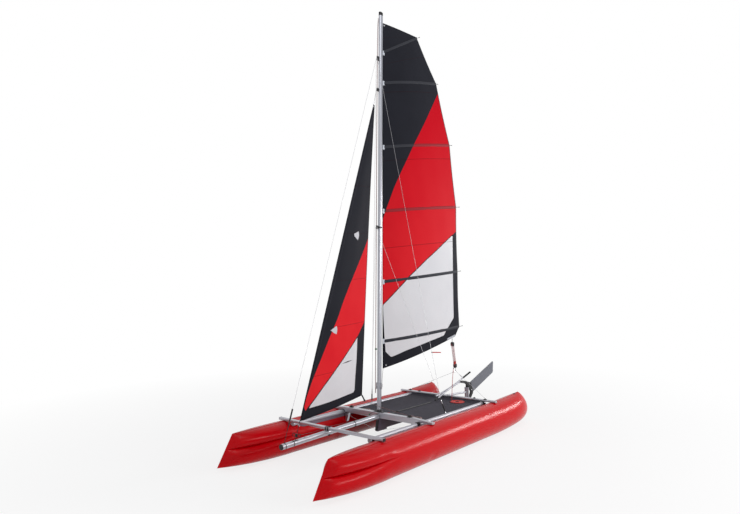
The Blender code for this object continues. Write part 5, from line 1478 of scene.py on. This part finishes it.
def add_mast_trim():
    """The luff track, cleats, running lines and caps of the mast."""
    turn = mast_frame(0.0).to_3x3().to_4x4()
    section = [(-0.0090, 0.0345), (0.0090, 0.0345), (0.0090, 0.0382), (0.0022, 0.0382), (0.0022, 0.0362),
               (-0.0022, 0.0362), (-0.0022, 0.0382), (-0.0090, 0.0382)]
    rings = [[mast_frame(t) @ Vector((x, y, 0)) for x, y in section] for t in (0.04, 2.0, 4.0, 5.985)]
    add_loft("mast_track", rings, "tube_z", angle=20)
    cap = []
    for height, grow, slant in ((-0.034, 0.0012, 0.0), (0.0015, 0.0012, 0.0), (0.004, 0.0012, 1.0),
                                (0.007, -0.003, 1.0), (0.0075, -0.016, 1.0)):
        ring = []
        for i in range(32):
            angle = 2 * math.pi * i / 32
            rise = height + slant * 0.008 * (1.0 - math.cos(angle))
            ring.append(mast_frame(MAST_TOP) @ Vector(((MAST_HALF_WIDTH + grow) * math.sin(angle),
                                                       (MAST_HALF_CHORD + grow) * math.cos(angle), rise)))
        cap.append(ring)
    add_loft("mast_cap", cap, "plastic", angle=40)
    band = []
    for height in (-0.012, 0.012):
        place = mast_frame(LOWER_HOUNDS + height)
        ring = []
        for i in range(32):
            angle = 2 * math.pi * i / 32
            ring.append(place @ Vector((0.0288 * math.sin(angle), 0.0388 * math.cos(angle), 0)))
        band.append(ring)
    add_loft("mast_band", band, "plastic", angle=30)
    for side, sign in SIDES:
        centre = mast_point(0.335, -0.004, sign * 0.0325)
        add_block("mast_cleat_" + side, (0.012, 0.016, 0.052), centre, "steel", turn=turn, bevel=0.004,
                  segments=3)
        add_block("mast_cleat_horn_" + side, (0.012, 0.018, 0.090), centre + Vector((sign * 0.013, 0, 0)),
                  "grey_plastic", turn=turn, bevel=0.003, segments=3)
        port = -0.046 if sign > 0 else -0.038
        aft = -0.026 if sign > 0 else -0.044
        line = [mast_point(0.300, aft * 0.8, port), mast_point(0.42, aft, port), mast_point(2.50, aft, port),
                mast_point(4.50, aft, port * 0.95), mast_point(5.70, aft, port * 0.75),
                mast_point(5.94, aft, port * 0.4)]
        rope = "halyard_rope" if sign > 0 else "red_halyard"
        add_tube("mast_line_" + side, smooth_route(line, 10), 0.0026, rope, sides=8)
    add_turned("green_bead", [(0.004, -0.014), (0.013, -0.010), (0.0155, 0.0), (0.013, 0.010),
                              (0.004, 0.014)], frame_of(mast_point(0.865, -0.026, -0.046), MAST_AXIS),
               "green", sides=20)
    tack = sail_frame() @ main_point(0.0, 0.0)
    foot = mast_point(0.335, 0.047, 0.012)
    add_tube("downhaul_line", smooth_route([tack + Vector((0, 0.012, 0.010)), tack.lerp(foot, 0.5), foot], 8),
             0.0025, "dark_rope", None, sides=8)
    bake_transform(bpy.data.objects["downhaul_line"])
    add_block("downhaul_cleat", (0.014, 0.016, 0.050), mast_point(0.335, 0.046, 0.010), "plastic", turn=turn,
              bevel=0.004, segments=3)
    for name, angle in (("a", 20), ("b", 160), ("c", 200), ("d", 340)):
        spot = Vector((0.060 * math.cos(math.radians(angle)), 0.018 * math.sin(math.radians(angle)), 0))
        add_turned("foot_bolt_" + name, [(0.006, 0.0), (0.006, 0.004), (0.003, 0.0052)],
                   frame_of(at(spot.x, spot.y, MAIN_TOP_Z + 0.0122), (0, 0, 1)), "steel", sides=6)
    lash = []
    for k in range(121):
        angle = 2 * math.pi * k / 24
        height = MAIN_TOP_Z + 0.016 + 0.020 * k / 120
        lash.append(at(0.0415 * math.cos(angle), 0.0440 * math.sin(angle), height))
    add_tube("foot_lashing", lash, 0.0030, "dark_rope", sides=8)
    for name, x, y, look in (("port", 0.150, 0.036, "red_bead"), ("starboard", -0.159, -0.036, "green")):
        add_turned("line_bead_" + name, [(0.003, -0.010), (0.009, -0.006), (0.0105, 0.0), (0.009, 0.006),
                                         (0.003, 0.010)],
                   frame_of(at(x, y, MAIN_TOP_Z - 0.006 if y > 0 else 0.466), (1, 0.3, 0)), look, sides=20)
        route = smooth_route([at(x * 0.45, y * 0.9, MAIN_TOP_Z + 0.006),
                              at(x * 0.8, y * 1.05, MAIN_TOP_Z + 0.001 if y > 0 else 0.488),
                              at(x, y, MAIN_TOP_Z - 0.006 if y > 0 else 0.466)], 6)
        add_tube("line_to_bead_" + name, route, 0.0025, "dark_rope", sides=8)


def sprit_height(y):
    """Height of the bowsprit's centre line."""
    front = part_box("bowsprit")[0]
    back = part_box("bowsprit")[1]
    low = front.z + 0.035
    high = back.z - 0.035
    share = (y + SHIFT - front.y) / (back.y - front.y)
    return low + (high - low) * share


def add_bow_trim():
    """Strap, rings, shackles and the furling line on the bowsprit."""
    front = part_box("bowsprit")[0].y - SHIFT
    slope = Vector((0, 1.8, sprit_height(-0.034) - sprit_height(-1.834))).normalized()
    add_turned("sprit_plug", [(0.0345, -0.010), (0.0360, -0.001), (0.0360, 0.003), (0.0320, 0.0065),
                              (0.012, 0.0080)], frame_of(at(0, front + 0.002, sprit_height(front)), -slope),
               "plastic", sides=40)
    for name, y, radius, look in (("stay", -1.776, 0.0026, "dark_rope"),
                                  ("drum", -1.645, 0.0026, "dark_rope"), ("bead", -0.541, 0.0042, "rubber")):
        loop = []
        place = frame_of(at(0, y, sprit_height(y)), slope)
        for k in range(33):
            angle = 2 * math.pi * k / 32
            loop.append(place @ Vector((0.0375 * math.cos(angle), 0.0375 * math.sin(angle), 0)))
        add_tube("sprit_loop_" + name, loop, radius, look, slot="rope", sides=8)
    for k, y in enumerate((-1.470, -1.418, -1.372)):
        add_tube("sprit_shackle_%d" % (k + 1), shackle_route(at(0.020, y, sprit_height(y) + 0.028)), 0.0026,
                 "steel", sides=8)
    top_z = BEAM_Z + 0.036
    low_z = sprit_height(FRONT_BEAM_Y) - 0.036
    outline = [(FRONT_BEAM_Y - 0.0275, top_z + 0.002), (FRONT_BEAM_Y + 0.0275, top_z + 0.002),
               (FRONT_BEAM_Y + 0.0285, BEAM_Z + 0.01), (FRONT_BEAM_Y + 0.020, low_z + 0.02),
               (FRONT_BEAM_Y + 0.004, low_z - 0.002), (FRONT_BEAM_Y - 0.012, low_z - 0.002),
               (FRONT_BEAM_Y - 0.024, low_z + 0.02), (FRONT_BEAM_Y - 0.0285, BEAM_Z + 0.01)]
    for side, x in (("port", 0.020), ("starboard", -0.020)):
        rows = []
        for share in (-0.5, 0.0, 0.5):
            rows.append([at(x + 0.020 * share, y, z) for y, z in outline + outline[:1]])
        mesh = grid_mesh("beam_strap_" + side, rows, Matrix.Identity(4))
        thicken(new_object("beam_strap_" + side, mesh, "webbing"), 0.002)
    drum = JIB_TACK + Vector((0, SHIFT, 0)) - JIB_AXIS * 0.166
    drum = drum + Vector((0.030, 0.020, 0))
    guide = at(0.034, FRONT_BEAM_Y, BEAM_Z + 0.0455)
    line = smooth_route([drum, drum.lerp(guide, 0.5) - Vector((0, 0, 0.012)), guide, at(0.048, -0.60, 0.502),
                         at(0.062, -0.050, MAIN_TOP_Z + 0.006), at(0.062, 0.014, MAIN_TOP_Z + 0.006)], 10)
    add_tube("furling_line", line, 0.0022, "dark_rope", sides=8)
    add_turned("line_guide", [(0.006, -0.006), (0.010, -0.004), (0.010, 0.004), (0.006, 0.006)],
               frame_of(guide - Vector((0, 0, 0.006)), (0, 1, 0)), "plastic", sides=20)
    add_drum_star()
    tack = JIB_TACK + Vector((0, SHIFT, 0))
    add_tube("tack_shackle", shackle_route(tack - JIB_AXIS * 0.045, JIB_AXIS), 0.003, "steel", "jib", sides=8)


def shackle_route(centre, up=Vector((0, 0, 1))):
    """A D shackle's bow."""
    up = Vector(up).normalized()
    side = up.cross(Vector((1, 0, 0))).normalized()
    route = []
    for k in range(17):
        angle = math.radians(-40 + 260 * k / 16)
        route.append(centre + side * 0.011 * math.cos(angle) + up * 0.014 * math.sin(angle))
    return route


def add_drum_star():
    """The furler drum's four guide arms."""
    axis = JIB_AXIS
    centre = JIB_TACK + Vector((0, SHIFT, 0)) - axis * 0.166
    place = frame_of(centre, axis, Vector((0, 1, 0)))
    for k in range(4):
        angle = math.radians(45 + 90 * k)
        direction = Vector((math.cos(angle), math.sin(angle), 0))
        knots = [direction * 0.020 + Vector((0, 0, 0.020)), direction * 0.047 + Vector((0, 0, 0.017)),
                 direction * 0.052, direction * 0.047 + Vector((0, 0, -0.017)), direction * 0.020
                 + Vector((0, 0, -0.020))]
        route = [place @ knot for knot in smooth_route(knots, 5)]
        add_tube("drum_guard_%d" % (k + 1), route, 0.0034, "plastic", "jib", sides=8)


def add_shroud_trim():
    """Sleeves, turnbuckle bodies and the wind tell on the shrouds."""
    for side, sign in SIDES:
        foot = at(sign * TUBE_X, 0.656, TUBE_TOP_Z + 0.0003)
        lower_head = mast_point(LOWER_HOUNDS, -MAST_CHORD / 2 - STAY_OFFSET) + Vector((sign * 0.010, 0, 0))
        upper_head = mast_point(UPPER_HOUNDS, -MAST_CHORD / 2 - STAY_OFFSET) + Vector((sign * 0.010, 0, 0))
        along = (lower_head - foot).normalized()
        top = foot + along * 0.236
        place = frame_of(foot, along)
        add_turned("shroud_barrel_" + side,
                   [(0.0058, 0.150), (0.0072, 0.153), (0.0072, 0.205), (0.0058, 0.208), (0.0042, 0.212),
                    (0.0042, 0.232)], place, "steel", sides=20)
        add_turned("shroud_eye_" + side, [(0.0062, 0.0), (0.0062, 0.006), (0.0045, 0.010), (0.0045, 0.030)],
                   place, "steel", sides=16)
        for name, head in (("upper", upper_head), ("lower", lower_head)):
            start = top + (head - top).normalized() * 0.004
            add_turned("shroud_swage_%s_%s" % (name, side), [(0.0032, 0.0), (0.0034, 0.002), (0.0034, 0.048),
                                                             (0.0022, 0.056)],
                       frame_of(start, head - top), "steel", sides=14)
        if sign > 0:
            share = (1.357 - top.z) / (upper_head.z - top.z)
            point = top.lerp(upper_head, share)
            add_wind_tell(point)


def add_wind_tell(point):
    """A light red vane clipped to the port shroud."""
    direction = Vector((0.75, 0.66, -0.03)).normalized()
    rows = []
    for share in (-1.0, -0.33, 0.33, 1.0):
        row = []
        for k in range(13):
            t = k / 12
            half = 0.0075 * (1.0 - 0.18 * t)
            out = Vector((0.66, -0.75, 0)) * 0.0016 * math.sin(2 * math.pi * t * 2)
            row.append(point + direction * (0.008 + 0.128 * t) + Vector((0, 0, share * half)) + out)
        rows.append(row)
    mesh = grid_mesh("wind_tell", rows, Matrix.Identity(4))
    vane = new_object("wind_tell", mesh, "vane")
    thicken(vane, 0.0012)
    add_turned("wind_tell_clip", [(0.0040, -0.010), (0.0052, -0.007), (0.0052, 0.007), (0.0040, 0.010)],
               frame_of(point, (0, 0, 1)), "plastic", sides=14)


def add_steering_trim():
    """The clip where tiller and extension cross, the grip's ribs and the blade's bolts."""
    tip = at(0, STOCK_Y - TILLER_REACH, TUBE_TOP_Z + 0.046)
    nose = at(0, STOCK_Y - 0.2135, STOCK_TOP_Z + 0.1185)
    along = (nose - tip).normalized()
    crossing = tip + along * ((1.945 - (STOCK_Y - TILLER_REACH)) / along.y)
    place = frame_of(crossing, along)
    add_turned("tiller_clip", [(0.0145, -0.020), (0.0175, -0.018), (0.0175, 0.018), (0.0145, 0.020)], place,
               "plastic", "rudder", sides=24)
    add_block("tiller_clip_lip", (0.012, 0.032, 0.026), crossing + Vector((0.006, 0, 0.018)), "plastic",
              "rudder", turn=place.to_3x3().to_4x4() @ Matrix.Rotation(math.pi / 2, 4, "X"), bevel=0.003)
    slope = math.radians(16.1)
    aim = Vector((0, math.cos(slope), math.sin(slope)))
    start = at(0.034, STOCK_Y - TILLER_REACH - 0.068, TUBE_TOP_Z - 0.0015)
    for k in range(9):
        spot = start + aim * (1.152 - 0.250 + 0.029 * k)
        add_turned("grip_rib_%d" % (k + 1),
                   [(0.0142, -0.004), (0.0156, -0.003), (0.0156, 0.003), (0.0142, 0.004)],
                   frame_of(spot, aim), "rubber", "extension", sides=24)
    add_turned("grip_end", [(0.0140, -0.004), (0.0165, -0.001), (0.0165, 0.006), (0.0130, 0.010),
                            (0.005, 0.0115)], frame_of(start + aim * 1.140, aim), "rubber", "extension",
               sides=28)
    pivot = at(0, STOCK_Y + 0.145, STOCK_TOP_Z - 0.068)
    for side, sign in SIDES:
        add_turned("pivot_bolt_" + side, [(0.010, 0.0), (0.010, 0.0035), (0.006, 0.0055), (0.002, 0.006)],
                   frame_of(pivot + Vector((sign * 0.0185, 0, 0)), (sign, 0, 0)), "steel", "rudder", sides=6)
        add_turned("head_bolt_" + side, [(0.007, 0.0), (0.007, 0.003), (0.004, 0.0045)],
                   frame_of(at(sign * 0.0172, STOCK_Y - 0.15, STOCK_TOP_Z + 0.112), (sign, 0, 0)), "steel",
                   "rudder", sides=6)
    for height, name in ((-0.012, "top"), (-0.165, "bottom")):
        add_turned("stock_band_" + name,
                   [(0.0382, -0.007), (0.0398, -0.006), (0.0398, 0.006), (0.0382, 0.007)],
                   frame_of(at(0, STOCK_Y, STOCK_TOP_Z + height), (0, 0, 1)), "tube_z", sides=40)
    add_block("arm_bracket", (0.060, 0.010, 0.028), at(0, REAR_BEAM_Y + 0.0330, BEAM_Z + 0.015), "plastic",
              bevel=0.002)


def add_sail_fittings():
    """Webbing at the clew and eyes of the sails."""
    place = sail_frame()
    chord = main_row(0.0)[2]
    rows = []
    for share in (0.0, 0.5, 1.0):
        row = []
        for k in range(11):
            u = (1.285 + (chord - 0.006 - 1.285) * k / 10) / chord
            row.append(place @ (main_point(u, 0.0) + Vector((0, 0.001 + 0.034 * share, 0.0050))))
        rows.append(row)
    mesh = grid_mesh("clew_webbing", rows, Matrix.Identity(4))
    thicken(new_object("clew_webbing", mesh, "grey_webbing", "mainsail"), 0.0018)
    for name, u, v, rise in (("tack", 0.035, 0.0, 0.035), ("clew", 0.95, 0.0, 0.016),
                             ("head", 0.04, 7.0, -0.035)):
        point = main_point(u, v)
        centre = place @ (point + Vector((0.004, rise, 0.0)))
        normal = place.to_3x3() @ Vector((0, 0, 1))
        add_turned("sail_eye_" + name,
                   [(0.0065, -0.0022), (0.0125, -0.0022), (0.0125, 0.0022), (0.0065, 0.0022)],
                   frame_of(centre, normal), "steel", "mainsail", sides=28)
    jib_place = jib_frame()
    for name, u, v, shift in (("tack", 0.0, 0.0, (0.014, 0.030)), ("clew", 1.0, 0.0, (-0.030, 0.010)),
                              ("head", 0.5, 1.0, (0.0, -0.030))):
        point = jib_point(u, v)
        centre = jib_place @ (point + Vector((shift[0], shift[1], 0.0)))
        add_turned("jib_eye_" + name, [(0.005, -0.0022), (0.010, -0.0022), (0.010, 0.0022), (0.005, 0.0022)],
                   frame_of(centre, jib_place.to_3x3() @ Vector((0, 0, 1))), "steel", "jib", sides=28)


add_camera()
LOOKS = {
    # Painted light: a lighter copy of the jib sheet's rope, for its tails coiled on the deck; its span wears
    # brown_rope.
    "coil_rope": make_rope("coil_braid", (186, 146, 142), (218, 190, 186), 0.4),
    "hull": make_hull_fabric(),
    "tube_x": make_aluminium("aluminium_across", (1.0, 14.0, 14.0)),
    "tube_y": make_aluminium("aluminium_along", (14.0, 1.0, 14.0), low=0.44, high=0.58),
    "sprit": make_aluminium("aluminium_sprit", (14.0, 1.0, 14.0)),
    # Painted shade: the mast, its track and the rudder stock take a darker copy of the same anodised
    # aluminium.
    "tube_z": make_aluminium("aluminium_up", (14.0, 14.0, 1.0), (158, 160, 168)),
    "plastic": make_plastic("moulded_black"),
    "white_plastic": make_plastic("moulded_white", (198, 203, 212), 0.45),
    "grey_plastic": make_plastic("moulded_grey", (172, 173, 178), 0.4),
    "rubber": make_plastic("rubber_black", (24, 24, 26), 0.6, 400.0),
    "steel": make_metal("polished_steel", (196, 196, 200), 0.2),
    "wire": make_wire(),
    "red_rope": make_rope("red_braid", (236, 34, 30), (240, 92, 84), 0.15),
    "brown_rope": make_rope("brown_braid", (122, 90, 90), (170, 136, 134), 0.4),
    "dark_rope": make_rope("dark_braid", (52, 50, 54), (110, 108, 112), 0.3),
    "deck": make_trampoline(),
    "webbing": make_webbing("black_webbing"),
    "mainsail": make_mainsail_cloth(),
    "jib": make_jib_cloth(),
    "tape": make_pocket("pocket_black", False),
    "red_tape": make_pocket("pocket_dark_red", True),
    "falls_rope": make_rope("falls_braid", (214, 120, 126), (236, 196, 198), 0.5),
    "halyard_rope": make_rope("halyard_braid", (214, 186, 188), (190, 110, 116), 0.3),
    "red_halyard": make_rope("red_halyard_braid", (120, 44, 54), (178, 110, 116), 0.3),
    "grey_webbing": make_webbing("grey_webbing", (180, 184, 192)),
    "piping": make_webbing("piping_grey", (92, 80, 92)),
    "vane": make_webbing("red_ribbon", (214, 40, 44)),
    "green": make_plastic("green_bead", (20, 132, 84), 0.3),
    "red_bead": make_plastic("red_bead", (206, 24, 34), 0.3),
    "blade": make_blade("blade_grey", (96, 99, 109)),
    "board": make_blade("board_grey", (108, 96, 114)),
    "pad": make_pad(),
}

LOOK_OF_NODES = {
    "tube_y": ("side_tube_port", "side_tube_starboard", "rudder_arm", "tiller", "tiller_extension"),
    "tube_x": ("front_beam", "main_beam", "rear_beam", "beam_bracket_port", "beam_bracket_starboard"),
    "tube_z": ("mast", "rudder_stock"),
    "plastic": ("mast_foot", "hounds_tang", "lower_shroud_tang", "jib_halyard_block", "jib_cleat_port",
                "jib_cleat_starboard", "mainsheet_upper_block", "mainsheet_lower_block", "furler_drum",
                "jib_clew_block", "rudder_head", "tiller_joint"),
    "wire": ("upper_shroud_port", "upper_shroud_starboard", "lower_shroud_port", "lower_shroud_starboard",
             "forestay", "mainsheet_bridle"),
    "rubber": ("shroud_adjuster_port", "shroud_adjuster_starboard", "forestay_adjuster", "extension_grip"),
    "sprit": ("bowsprit",),
    "dark_rope": ("jib_halyard",),
    "board": ("centreboard_case", "centreboard"),
    "steel": ("jib_swivel",),
    "blade": ("rudder_blade",),
    "pad": ("hull_pad_port", "hull_pad_starboard"),
    "deck": ("trampoline",),
    "webbing": ("hiking_strap",),
    "red_rope": ("mainsheet_falls", "mainsheet_coil", "mainsheet_tail"),
    "brown_rope": ("jib_sheet", "jib_sheet_coil_port", "jib_sheet_coil_starboard"),
}
for look, nodes in LOOK_OF_NODES.items():
    for node in nodes:
        dress(node, LOOKS[look])

add_mainsheet_rope()
add_jib_sheets()
add_falls()
add_bridle()
add_hulls(LOOKS["hull"])
add_mainsail(LOOKS["mainsail"], (LOOKS["tape"], LOOKS["red_tape"]))
add_jib(LOOKS["jib"])
add_deck()
add_pads()
add_frame_trim()
add_mast_trim()
add_bow_trim()
add_shroud_trim()
add_steering_trim()
add_sail_fittings()
add_floor()
add_surround()
add_lights()
bpy.context.scene.view_settings.view_transform = "Standard"
